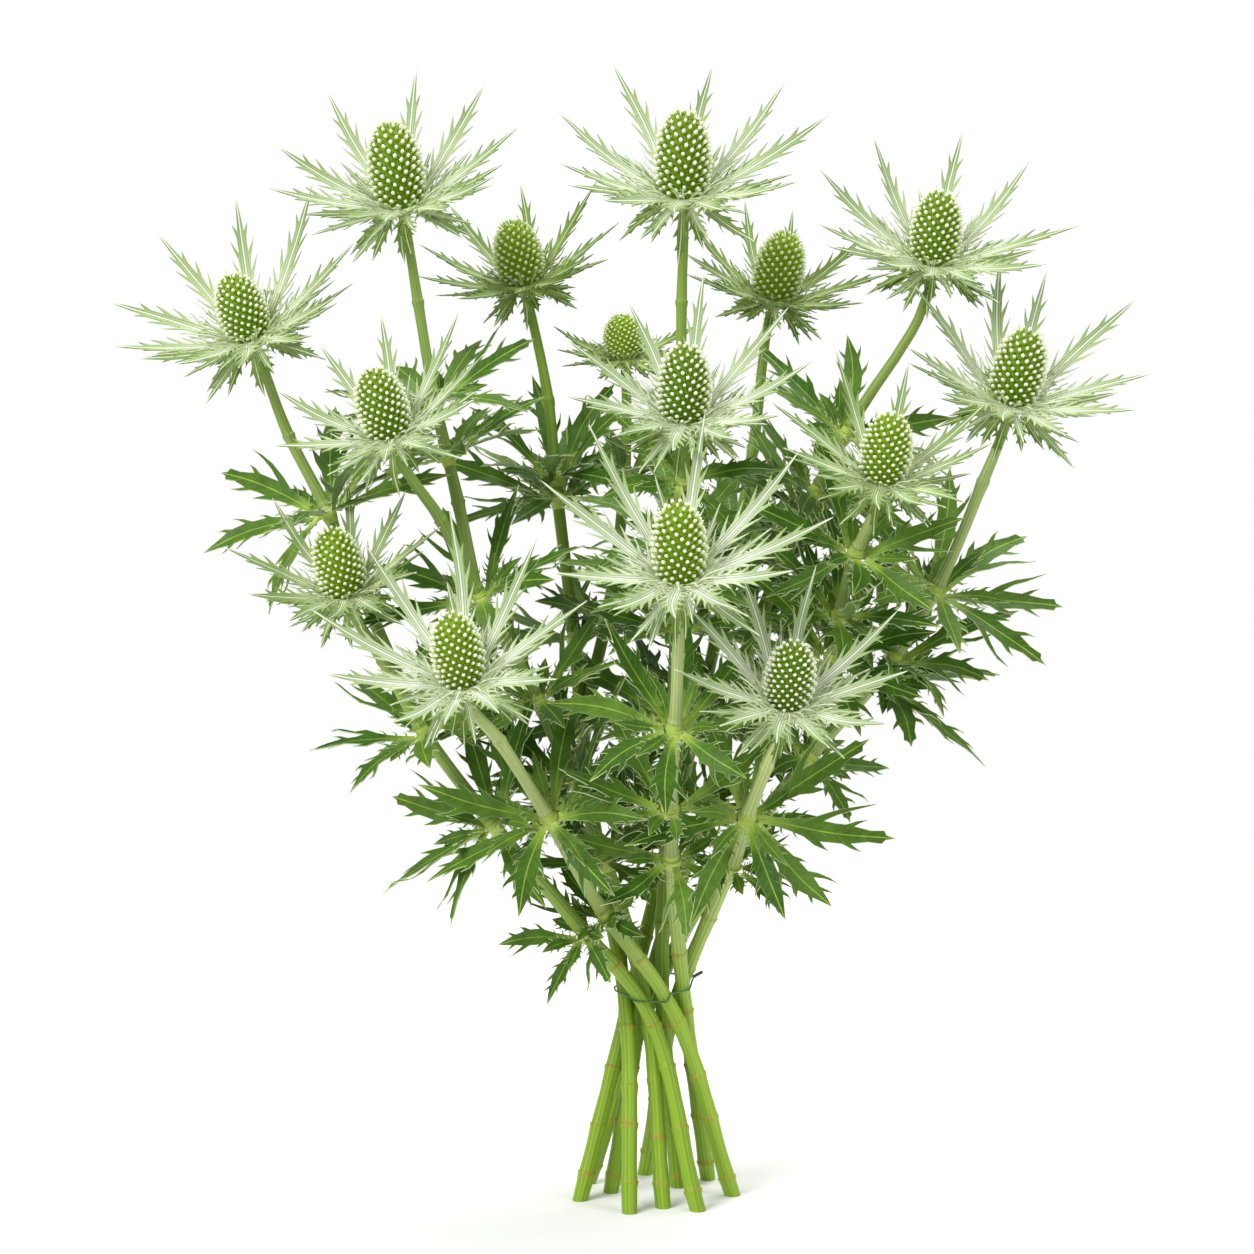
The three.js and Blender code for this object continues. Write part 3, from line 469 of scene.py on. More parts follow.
def whorl_blades(taken, whorl, w, limbs):
    """The lobes of a whorl of leaves."""
    centre, axis = whorl_place(limbs, whorl)
    place = frame_of(axis)
    spread = facing(place, LEAF["tilt"])
    reach = (radius_at(centre[2]) + GAP) / math.cos(math.pi / COLLAR["sides"]) + COLLAR["wall"]
    blades = []
    for k in range(whorl["lobes"]):
        seed = w * 71 + k * 13 + 500
        slot = whorl["turn"] + 360 * k / whorl["lobes"]
        length = whorl["length"] * length_at(math.sin(math.radians(slot)), LEAF["shorter"])
        turn = slot + LEAF_SPREAD["turn"] * draw(seed)
        rise = whorl.get("rise", LEAF["rise"]) + LEAF_SPREAD["rise"] * draw(seed + 3)
        length *= 1 + LEAF_SPREAD["length"] * draw(seed + 5)
        blade = place_blade(
            taken, centre, place, spread, reach, slot, turn, rise, LEAF["bends"], LEAF["curl"], length,
            LEAF["rows"], math.sqrt(whorl["length"] / LEAF["full_length"]),
            ["whorl_" + str(w), whorl["stem"]])
        if blade:
            blades.append(dict(blade, seed=seed))
    return blades


def grow_plant():
    """Lays out all limbs, ruffs and whorls in the order in which they keep clear of each other."""
    limbs, stem_of = grow_limbs()
    taken = Taken()
    for name, parts in limbs.items():
        for curve, _ in parts:
            points = [curve.at(k / RODS) for k in range(curve.last * RODS + 1)]
            wide = [radius_at(p[2]) + JOINT_SWELL for p in points]
            taken.take(points, wide, STEM["neck_radius"], None, name)
    for name, head in [*HEADS.items(), ("bud", BUD)]:
        shares = [0, 0.12, 0.35, 0.6, 0.85, 1]
        axis = head_axis(head)
        points = [seat_of(head) + axis * CONE["length"] * head["cone"] * t for t in shares]
        taken.take(points, [cone_radius(head["cone"], t) + CONE["spike"] for t in shares], 0, None, name)
    ruffs = {name: ruff_blades(taken, name, head, h, stem_of) for h, (name, head) in enumerate(HEADS.items())}
    whorls = [whorl_blades(taken, whorl, w, limbs) for w, whorl in enumerate([*WHORLS, *INNER_WHORLS])]
    return limbs, ruffs, whorls


limbs, ruffs, whorls = grow_plant()


# ---------- modelling by hand ----------
def start_editing(obj):
    """Opens a mesh in edit mode, with nothing selected."""
    bpy.ops.object.select_all(action="DESELECT")
    obj.select_set(True)
    bpy.context.view_layer.objects.active = obj
    bpy.ops.object.mode_set(mode="EDIT")
    bpy.ops.mesh.select_mode(type="VERT")
    bpy.ops.mesh.select_all(action="DESELECT")


def stop_editing():
    bpy.ops.object.mode_set(mode="OBJECT")


def new_primitive(name, add, **settings):
    bpy.ops.object.select_all(action="DESELECT")
    add(**settings)
    obj = bpy.context.view_layer.objects.active
    obj.name = name
    return obj


def choose(obj, test):
    """Selects the points whose place passes a test, with the edges and faces between them."""
    mesh = bmesh.from_edit_mesh(obj.data)
    for vert in mesh.verts:
        vert.select_set(bool(test(vert.co)))
    mesh.select_flush_mode()
    bmesh.update_edit_mesh(obj.data)


def middle_of_chosen(obj):
    places = [v.co for v in bmesh.from_edit_mesh(obj.data).verts if v.select]
    return tuple(sum(p[i] for p in places) / len(places) for i in range(3))


def grow(obj, move, size=1.0):
    """Extrudes what is chosen, moves it on and sizes it across its own middle, to a point at size 0."""
    bpy.ops.mesh.extrude_region_move(TRANSFORM_OT_translate={"value": move})
    if size == 0:
        bpy.ops.mesh.merge(type="CENTER")
    elif size != 1:
        bpy.ops.transform.resize(value=(size, size, 1), center_override=middle_of_chosen(obj))


def use_modifier(obj, kind, **settings):
    modifier = obj.modifiers.new(kind.lower(), kind)
    for key, value in settings.items():
        setattr(modifier, key, value)
    bpy.context.view_layer.objects.active = obj
    bpy.ops.object.modifier_apply(modifier=modifier.name)


def points_of(obj):
    co = np.zeros(len(obj.data.vertices) * 3, np.float32)
    obj.data.vertices.foreach_get("co", co)
    return co.reshape(-1, 3).astype(float)


def set_points(obj, points):
    obj.data.vertices.foreach_set("co", points.astype(np.float32).ravel())
    obj.data.update()


def mark(obj, name, values):
    """Keeps a number for each point, which the materials read."""
    layer = obj.data.attributes.get(name) or obj.data.attributes.new(name, "FLOAT", "POINT")
    layer.data.foreach_set("value", np.asarray(values, np.float32))


def copy_of(master):
    piece = master.copy()
    piece.data = master.data.copy()
    bpy.context.scene.collection.objects.link(piece)
    return piece


def join(name, pieces):
    """Joins pieces into one named object."""
    bpy.ops.object.select_all(action="DESELECT")
    for piece in pieces:
        piece.select_set(True)
    bpy.context.view_layer.objects.active = pieces[0]
    if len(pieces) > 1:
        bpy.ops.object.join()
    pieces[0].name = name
    return pieces[0]


def smooth(obj, degrees):
    bpy.ops.object.select_all(action="DESELECT")
    obj.select_set(True)
    bpy.context.view_layer.objects.active = obj
    bpy.ops.object.shade_smooth_by_angle(angle=math.radians(degrees))


# ---------- masters: what repeats is modelled once ----------
BLADE_MAP_WIDTH = 32 * MM  # the width that a blade's own map spans


def half_width(rows, share):
    return float(np.interp(share, [s for s, _ in rows], [w for _, w in rows]))


def own_map(obj, u, v):
    """Gives a piece a map of its own, from two numbers at each point."""
    layer = obj.data.uv_layers.active or obj.data.uv_layers.new(name="Blade")
    layer.name = "Blade"
    loops = np.zeros(len(obj.data.loops), np.int32)
    obj.data.loops.foreach_get("vertex_index", loops)
    layer.data.foreach_set("uv", np.stack([u, v], 1)[loops].astype(np.float32).ravel())


def blade_master(name, length, rows, lobes, across, thick, rim=0):
    """A cut blade lying flat along +Y. Rows hold its share of the length and half width, from the root
    to just under the tip. Lobes grow from an edge: side, from and to shares, then steps (out, on, size)."""
    obj = new_primitive(name, bpy.ops.mesh.primitive_grid_add,
                        x_subdivisions=across, y_subdivisions=1, size=2)
    start_editing(obj)
    (s0, w0), (s1, w1) = rows[0], rows[1]
    choose(obj, lambda p: p.y < 0)
    bpy.ops.transform.resize(value=(w0 * MM, 1, 1), center_override=(0, -1, 0))
    bpy.ops.transform.translate(value=(0, 1 + s0 * length * MM, 0))
    choose(obj, lambda p: p.y > 0.5)
    bpy.ops.transform.resize(value=(w1 * MM, 1, 1), center_override=(0, 1, 0))
    bpy.ops.transform.translate(value=(0, s1 * length * MM - 1, 0))
    for (s_before, w_before), (s, w) in zip(rows[1:], rows[2:]):
        grow(obj, (0, (s - s_before) * length * MM, 0))
        bpy.ops.transform.resize(value=(w / w_before, 1, 1), center_override=(0, s * length * MM, 0))
    grow(obj, (0, (1 - rows[-1][0]) * length * MM, 0), 0)
    for side, low, high, steps in lobes:
        low_y, high_y = low * length * MM, high * length * MM

        def on_edge(p):
            at_row = min(abs(p.y - low_y), abs(p.y - high_y)) < TINY
            return at_row and abs(side * p.x - half_width(rows, p.y / MM / length) * MM) < 10 * TINY

        choose(obj, on_edge)
        for out, on, size in steps:
            grow(obj, (side * out * MM, on * MM, 0), size)
    if rim:
        bpy.ops.mesh.select_all(action="SELECT")
        bpy.ops.mesh.inset(thickness=rim * MM, use_boundary=True, use_even_offset=False)
    mesh = bmesh.from_edit_mesh(obj.data)
    outer = [v.is_boundary for v in mesh.verts]
    stop_editing()
    mark(obj, "edge", outer)
    flat = points_of(obj)
    own_map(obj, 0.5 + flat[:, 0] / BLADE_MAP_WIDTH, flat[:, 1] / (length * MM))
    use_modifier(obj, "SOLIDIFY", thickness=thick * MM, offset=0)
    mark(obj, "under", points_of(obj)[:, 2] < 0)
    smooth(obj, 40)
    obj["length"] = length * MM
    return obj


def both_sides(*lobes):
    """The same lobes on both sides."""
    right = [(1, low, high, steps) for low, high, steps in lobes]
    left = [(-1, low, high, steps) for low, high, steps in lobes]
    return [*right, *left]


def bract_master():
    """A long silvery bract: curly threads near its root, and forward spines that it steps in behind."""
    rows = [(0, 1.5), (0.05, 1.4), (0.08, 1.5), (0.12, 1.6), (0.15, 1.8), (0.2, 2.1), (0.23, 2.1),
            (0.28, 2.7), (0.32, 2.2), (0.41, 2.9), (0.45, 2.3), (0.55, 2.9), (0.59, 2.1), (0.7, 2.2),
            (0.74, 1.5), (0.84, 1.0), (0.93, 0.5)]
    lobes = both_sides(
        (0.05, 0.08, [(3.0, 2.0, 0.5), (3.4, 2.4, 0.6), (2.0, 3.6, 0.7), (0.4, 3.6, 0)]),
        (0.12, 0.15, [(2.6, 2.0, 0.5), (2.8, 3.0, 0.6), (1.2, 3.8, 0)]),
        (0.2, 0.23, [(2.0, 2.2, 0.5), (2.0, 3.0, 0.6), (0.6, 3.4, 0)]),
        (0.28, 0.32, [(1.8, 3.0, 0.6), (2.2, 4.4, 0)]),
        (0.41, 0.45, [(1.6, 3.2, 0.6), (1.9, 4.6, 0)]),
        (0.55, 0.59, [(1.4, 3.0, 0.6), (1.5, 3.8, 0)]),
        (0.7, 0.74, [(0.9, 2.2, 0.55), (0.9, 2.3, 0)]))
    return blade_master("bract", 60, rows, lobes, 4, 0.5)


def short_bract_master():
    """A shorter bract of the lower ring, with a curly thread on each side and forward teeth above it."""
    rows = [(0, 1.3), (0.08, 1.2), (0.14, 1.4), (0.25, 1.8), (0.31, 2.0), (0.45, 2.2), (0.5, 2.1),
            (0.66, 1.7), (0.72, 1.4), (0.9, 0.6)]
    lobes = both_sides(
        (0.08, 0.14, [(2.6, 1.8, 0.5), (2.8, 2.4, 0.55), (1.2, 3.4, 0)]),
        (0.25, 0.31, [(2.2, 2.4, 0.5), (1.2, 3.2, 0)]),
        (0.45, 0.5, [(1.7, 3.4, 0.5), (0.6, 2.6, 0)]),
        (0.66, 0.72, [(1.2, 2.8, 0)]))
    return blade_master("short_bract", 42, rows, lobes, 2, 0.5)


def small_bract_master():
    """A small green bract under the ruff, cut like a leaf."""
    rows = [(0, 1.2), (0.1, 1.1), (0.22, 1.5), (0.38, 1.8), (0.5, 1.8), (0.64, 1.5), (0.74, 1.2), (0.9, 0.5)]
    lobes = both_sides(
        (0.1, 0.22, [(2.0, 2.2, 0.4), (1.4, 2.8, 0)]),
        (0.38, 0.5, [(2.0, 2.8, 0)]),
        (0.64, 0.74, [(1.2, 2.0, 0)]))
    return blade_master("small_bract", 26, rows, lobes, 2, 0.5)


def needle_master():
    """A needle-like bractlet that fills the ruff between its bracts."""
    rows = [(0, 0.6), (0.25, 0.55), (0.36, 0.5), (0.6, 0.42), (0.7, 0.35)]
    lobes = both_sides((0.25, 0.36, [(1.7, 2.8, 0)]), (0.6, 0.7, [(1.0, 2.0, 0)]))
    return blade_master("needle", 24, rows, lobes, 2, 0.45)


LEAF_LENGTH = 52  # of a modelled lobe, which its copies are stretched or shortened from
LEAF_RIM = 0.18
# Hooked pale spines near the root of a lobe, on both edges.
SPINES = [(0.07, 0.09, [(1.6, 0.3, 0.6), (1.2, 1.4, 0)]), (0.16, 0.18, [(1.9, 0.5, 0.6), (1.1, 1.9, 0)]),
          (0.26, 0.28, [(1.8, 1.2, 0.6), (0.8, 2.0, 0)])]
LOBE_FOOT = [(0, 1.9), (0.07, 1.7), (0.09, 1.75), (0.16, 2.1), (0.18, 2.2), (0.26, 2.8), (0.28, 3.0)]


def lance_leaf_master():
    """A plain lobe of a stem leaf: a lance with three pairs of forward teeth in its upper half."""
    rows = [*LOBE_FOOT, (0.38, 3.9), (0.43, 4.2), (0.55, 4.6), (0.61, 4.5), (0.72, 3.6), (0.77, 3.1),
            (0.86, 1.9), (0.94, 0.9)]
    lobes = both_sides(
        *SPINES,
        (0.38, 0.43, [(1.9, 2.2, 0.6), (1.0, 2.4, 0)]),
        (0.55, 0.61, [(2.2, 3.0, 0.65), (1.2, 3.2, 0)]),
        (0.72, 0.77, [(1.6, 2.6, 0.55), (0.7, 2.4, 0)]))
    return blade_master("lance_lobe", LEAF_LENGTH, rows, lobes, 4, 0.5, rim=LEAF_RIM)


def toothed_leaf_master(side):
    """A lobe with one long forward tooth on one edge and shorter ones on the other."""
    rows = [*LOBE_FOOT, (0.4, 4.1), (0.46, 4.5), (0.58, 4.6), (0.66, 4.3), (0.76, 3.2), (0.81, 2.6),
            (0.93, 1.0)]
    lobes = [
        *both_sides(*SPINES),
        (side, 0.4, 0.46, [(1.6, 2.0, 0.6), (0.8, 2.2, 0)]),
        (side, 0.58, 0.66, [(2.6, 3.6, 0.75), (2.0, 4.0, 0.55), (0.7, 2.8, 0)]),
        (-side, 0.4, 0.46, [(2.4, 3.0, 0.7), (1.5, 3.4, 0)]),
        (-side, 0.58, 0.66, [(1.8, 2.6, 0.6), (0.8, 2.8, 0)]),
        *both_sides((0.76, 0.81, [(1.4, 2.6, 0.5), (0.5, 2.0, 0)]))]
    return blade_master("toothed_lobe", LEAF_LENGTH, rows, lobes, 4, 0.5, rim=LEAF_RIM)


def forked_leaf_master(side):
    """A lobe that forks below its middle into a tip and a side lobe nearly as long."""
    rows = [*LOBE_FOOT, (0.35, 3.8), (0.47, 4.4), (0.55, 4.1), (0.63, 4.2), (0.69, 3.8), (0.81, 2.5),
            (0.93, 1.0)]
    lobes = [
        *both_sides(*SPINES),
        (side, 0.35, 0.47, [(3.2, 5.0, 0.9), (3.0, 6.0, 0.9), (2.4, 6.0, 0.7), (1.2, 4.5, 0)]),
        (-side, 0.35, 0.47, [(2.4, 3.4, 0.7), (1.4, 3.6, 0)]),
        *both_sides((0.63, 0.69, [(2.0, 3.2, 0.65), (1.0, 3.0, 0)]), (0.81, 0.93, [(1.0, 2.0, 0)]))]
    return blade_master("forked_lobe", LEAF_LENGTH, rows, lobes, 4, 0.5, rim=LEAF_RIM)


FLORET_HEIGHT = 4.2
SPIKE_HEIGHT = 5.8  # a bractlet reaches past the buds, as a pale fringe round the cone
CORE_SHARE = 1.03  # of the cone's radius, which the florets stand on


def height_map(obj, height):
    """A map whose second axis runs from the foot to the top of a small piece."""
    z = points_of(obj)[:, 2]
    own_map(obj, np.full(len(z), 0.5), z / height)


def floret_master():
    """A closed floret: a green cup of sepals with a pale round bud standing out of it."""
    obj = new_primitive("floret", bpy.ops.mesh.primitive_cone_add, vertices=5, radius1=0.7 * MM,
                        radius2=0.86 * MM, depth=2.0 * MM, location=(0, 0, 1.0 * MM), end_fill_type="NGON")
    start_editing(obj)
    choose(obj, lambda p: p.z > 0)
    bpy.ops.mesh.inset(thickness=0.15 * MM)
    grow(obj, (0, 0, 0.7 * MM), 1.4)
    grow(obj, (0, 0, 0.9 * MM), 0.84)
    grow(obj, (0, 0, 0.6 * MM), 0)
    stop_editing()
    bpy.ops.object.transform_apply(location=True)
    smooth(obj, 60)
    height_map(obj, FLORET_HEIGHT * MM)
    mark(obj, "edge", np.zeros(len(obj.data.vertices)))
    return obj


def spike_master():
    """The stiff bractlet beside a floret."""
    height = SPIKE_HEIGHT * MM
    obj = new_primitive("spike", bpy.ops.mesh.primitive_cone_add, vertices=3, radius1=0.22 * MM, radius2=0,
                        depth=height, location=(0, 0, height / 2), end_fill_type="NGON")
    start_editing(obj)
    choose(obj, lambda p: p.z > 0)
    bpy.ops.transform.translate(value=(0, -0.7 * MM, 0))
    stop_editing()
    bpy.ops.object.transform_apply(location=True)
    height_map(obj, height)
    mark(obj, "edge", np.ones(len(obj.data.vertices)))
    return obj


def core_master():
    """The core of a cone of size 1, which its florets stand on."""
    shares = [0, 0.12, 0.25, 0.38, 0.52, 0.66, 0.78, 0.88, 0.95]
    obj = new_primitive("core", bpy.ops.mesh.primitive_circle_add, vertices=20,
                        radius=cone_radius(1, 0) * CORE_SHARE * MM, fill_type="NGON")
    start_editing(obj)
    bpy.ops.mesh.select_all(action="SELECT")
    bpy.ops.mesh.flip_normals()
    for low, high in zip(shares, shares[1:]):
        grow(obj, (0, 0, (high - low) * CONE["length"] * MM), cone_radius(1, high) / cone_radius(1, low))
    stop_editing()
    smooth(obj, 60)
    height_map(obj, 1)  # so low on the map that the core has the colour of the cups' foot
    mark(obj, "edge", np.zeros(len(obj.data.vertices)))
    return obj


# ---------- bending copies along their spines ----------
def along_spine(spine, t):
    """Points and directions at shares t of a smooth line through a spine."""
    steps = len(spine) - 1
    slopes = np.gradient(spine, axis=0)
    i = np.minimum(steps - 1, np.floor(t * steps).astype(int))
    f = (t * steps - i)[:, None]
    p, q, m, n = spine[i], spine[i + 1], slopes[i], slopes[i + 1]
    point = p * (2 * f**3 - 3 * f**2 + 1) + q * (3 * f**2 - 2 * f**3)
    point = point + m * (f**3 - 2 * f**2 + f) + n * (f**3 - f**2)
    slope = (p - q) * (6 * f**2 - 6 * f) + m * (3 * f**2 - 4 * f + 1) + n * (3 * f**2 - 2 * f)
    return point, slope / np.linalg.norm(slope, axis=1)[:, None]


WAVES = {"count": 2.6, "apart": 2.1}  # along an edge, and the radians between those of the two edges
SWAYS = 1.4  # half waves of a blade's sway, from root to tip


def bent_copy(master, blade, fold, ripple, sway, twist):
    """A copy of a blade along its spine: folded at its midrib, rippled at its edges, swaying and twisting."""
    piece = copy_of(master)
    flat = points_of(piece)
    seed = blade["seed"]
    t = np.clip(flat[:, 1] / master["length"], 0, 1)
    centre, onward = along_spine((blade["spine"] + MIDDLE) * MM, t)
    side = blade["side"][None]
    over = np.cross(side, onward)
    x = flat[:, 0] * blade["scale"]
    shifted = np.where(x > 0, 0, WAVES["apart"])
    wave = np.sin(2 * math.pi * (WAVES["count"] * t + 0.5 * draw(seed + 11)) + shifted)
    lift = flat[:, 2] + np.abs(x) * (fold + ripple * wave)
    turn = (twist * draw(seed + 12) * t)[:, None]
    across = side * np.cos(turn) + over * np.sin(turn)
    above = over * np.cos(turn) - side * np.sin(turn)
    shift = (sway * MM * draw(seed + 13) * np.sin(math.pi * t * SWAYS) * t)[:, None]
    set_points(piece, centre + side * shift + across * x[:, None] + above * lift[:, None])
    return piece


def stand(piece, base, up, turn=0.0, wide=1.0, tall=1.0):
    """Stands a piece modelled along +Z on a point, along a direction."""
    up = unit(up)
    helper = np.array([0.0, 1.0, 0.0]) if abs(up[1]) < 0.9 else np.array([1.0, 0.0, 0.0])
    back = unit(helper - up * np.dot(up, helper))
    right = np.cross(back, up)
    c, s = math.cos(turn), math.sin(turn)
    axes = np.array([right * c + back * s, back * c - right * s, up])
    flat = points_of(piece) * [wide, wide, tall]
    set_points(piece, flat @ axes + base)
    return piece


# ---------- finishes ----------
def linear(hex_colour):
    """An sRGB hex colour as linear RGBA."""
    parts = [int(hex_colour[i:i + 2], 16) / 255 for i in (1, 3, 5)]
    return (*[c / 12.92 if c <= 0.04045 else ((c + 0.055) / 1.055) ** 2.4 for c in parts], 1)


def add(tree, kind, inputs=None, stops=None, **settings):
    """Adds a node with its settings and ramp stops, and sets or links its inputs."""
    made = tree.nodes.new(kind)
    for key, value in settings.items():
        setattr(made, key, value)
    for key, value in (inputs or {}).items():
        if isinstance(value, bpy.types.NodeSocket):
            tree.links.new(value, made.inputs[key])
        else:
            made.inputs[key].default_value = value
    if stops:
        elements = made.color_ramp.elements
        while len(elements) < len(stops):
            elements.new(1)
        for element, (position, hex_colour) in zip(elements, stops):
            element.position = position
            element.color = linear(hex_colour)
    return made


def new_finish(name):
    finish = bpy.data.materials.new(name)
    finish.use_nodes = True
    finish.node_tree.nodes.clear()
    return finish, finish.node_tree


def blade_place(tree):
    """A blade's own map, with the millimetres from its midrib and the share of its length."""
    uv = add(tree, "ShaderNodeUVMap", uv_map="Blade").outputs["UV"]
    at = add(tree, "ShaderNodeSeparateXYZ", {"Vector": uv})
    centred = add(tree, "ShaderNodeMath", {0: at.outputs["X"], 1: 0.5}, operation="SUBTRACT").outputs[0]
    off = add(tree, "ShaderNodeMath", {0: centred}, operation="ABSOLUTE").outputs[0]
    off_mm = add(tree, "ShaderNodeMath", {0: off, 1: BLADE_MAP_WIDTH / MM}, operation="MULTIPLY").outputs[0]
    return uv, off_mm, at.outputs["Y"]


VEIN_STEP = 1.15  # millimetres between the parallel veins of a bract


def bract_finish():
    """Waxy sea holly bract: the wax makes it matt and silvery, over fine parallel veins and a pale midrib."""
    finish, tree = new_finish("waxy_silver_bract")
    uv, off, along = blade_place(tree)
    tone = add(tree, "ShaderNodeAttribute", attribute_name="tone").outputs["Fac"]
    edge = add(tree, "ShaderNodeAttribute", attribute_name="edge").outputs["Fac"]
    silver = add(tree, "ShaderNodeValToRGB", {"Fac": along}, stops=[
        (0.0, "#E4EEB8"), (0.1, "#F6F9E6"), (0.25, "#EAF0DC"), (0.55, "#B8C7A0"),
        (1.0, "#7E9658")]).outputs["Color"]
    green = add(tree, "ShaderNodeValToRGB", {"Fac": along}, stops=[
        (0.0, "#DCE8A6"), (0.25, "#B8CC78"), (0.55, "#7A9A3A"), (1.0, "#4C701A")]).outputs["Color"]
    body = add(tree, "ShaderNodeMix", {0: tone, 6: silver, 7: green}, data_type="RGBA").outputs[2]
    # Pale parallel veins with greener bands between them.
    turns = add(tree, "ShaderNodeMath", {0: off, 1: 2 * math.pi / VEIN_STEP}, operation="MULTIPLY").outputs[0]
    swing = add(tree, "ShaderNodeMath", {0: turns}, operation="COSINE").outputs[0]
    band = add(tree, "ShaderNodeMapRange", {
        "Value": swing, "From Min": -1.0, "From Max": 0.6, "To Min": 0.6, "To Max": 0.0}).outputs[0]
    furrow = add(tree, "ShaderNodeMix", {0: tone, 6: linear("#7F9760"), 7: linear("#3F6014")},
                 data_type="RGBA").outputs[2]
    banded = add(tree, "ShaderNodeMix", {0: band, 6: body, 7: furrow}, data_type="RGBA").outputs[2]
    # The rim has its own colour, and so have the threads and spines, which are all rim.
    rim_pale = add(tree, "ShaderNodeValToRGB", {"Fac": along}, stops=[
        (0.0, "#E8F0CC"), (0.25, "#DCE6C0"), (0.5, "#B4C88E"), (1.0, "#7C9848")]).outputs["Color"]
    rim_green = add(tree, "ShaderNodeValToRGB", {"Fac": along}, stops=[
        (0.0, "#C4D488"), (0.25, "#8EAA48"), (1.0, "#446418")]).outputs["Color"]
    rim = add(tree, "ShaderNodeMix", {0: tone, 6: rim_pale, 7: rim_green}, data_type="RGBA").outputs[2]
    rim_share = add(tree, "ShaderNodeMapRange", {"Value": edge, "From Min": 0.6, "To Max": 0.85}).outputs[0]
    rimmed = add(tree, "ShaderNodeMix", {0: rim_share, 6: banded, 7: rim}, data_type="RGBA").outputs[2]
    # The midrib is white and about 0.6 mm wide.
    rib = add(tree, "ShaderNodeMapRange", {
        "Value": off, "From Min": 0.18, "From Max": 0.42, "To Min": 0.85, "To Max": 0.0}).outputs[0]
    line = add(tree, "ShaderNodeMix", {0: tone, 6: linear("#F6F9EC"), 7: linear("#D5E0AE")},
               data_type="RGBA").outputs[2]
    ribbed = add(tree, "ShaderNodeMix", {0: rib, 6: rimmed, 7: line}, data_type="RGBA").outputs[2]
    # Fine veins about 0.6 mm apart, run together along the blade.
    stretched = add(tree, "ShaderNodeMapping", {"Vector": uv, "Scale": (54, 1.6, 1)}).outputs[0]
    veins = add(tree, "ShaderNodeTexNoise", {"Vector": stretched, "Scale": 1.0, "Detail": 2.0}).outputs["Fac"]
    shade = add(tree, "ShaderNodeMapRange", {
        "Value": veins, "From Min": 0.34, "From Max": 0.66, "To Min": 0.84, "To Max": 1.08}).outputs[0]
    veined = add(tree, "ShaderNodeMix", {0: 1.0, 6: ribbed, 7: shade}, data_type="RGBA",
                 blend_type="MULTIPLY").outputs[2]
    bump = add(tree, "ShaderNodeBump", {"Height": veins, "Strength": 0.35, "Distance": 0.0002}).outputs[0]
    shader = add(tree, "ShaderNodeBsdfPrincipled", {
        "Base Color": veined, "Normal": bump, "Roughness": 0.62, "Specular IOR Level": 0.35})
    add(tree, "ShaderNodeOutputMaterial", {"Surface": shader.outputs[0]})
    return finish


SIDE_VEIN = {"step": 5.0, "slant": 1.3, "wander": 6.0}  # of a leaf, in millimetres but for the slant


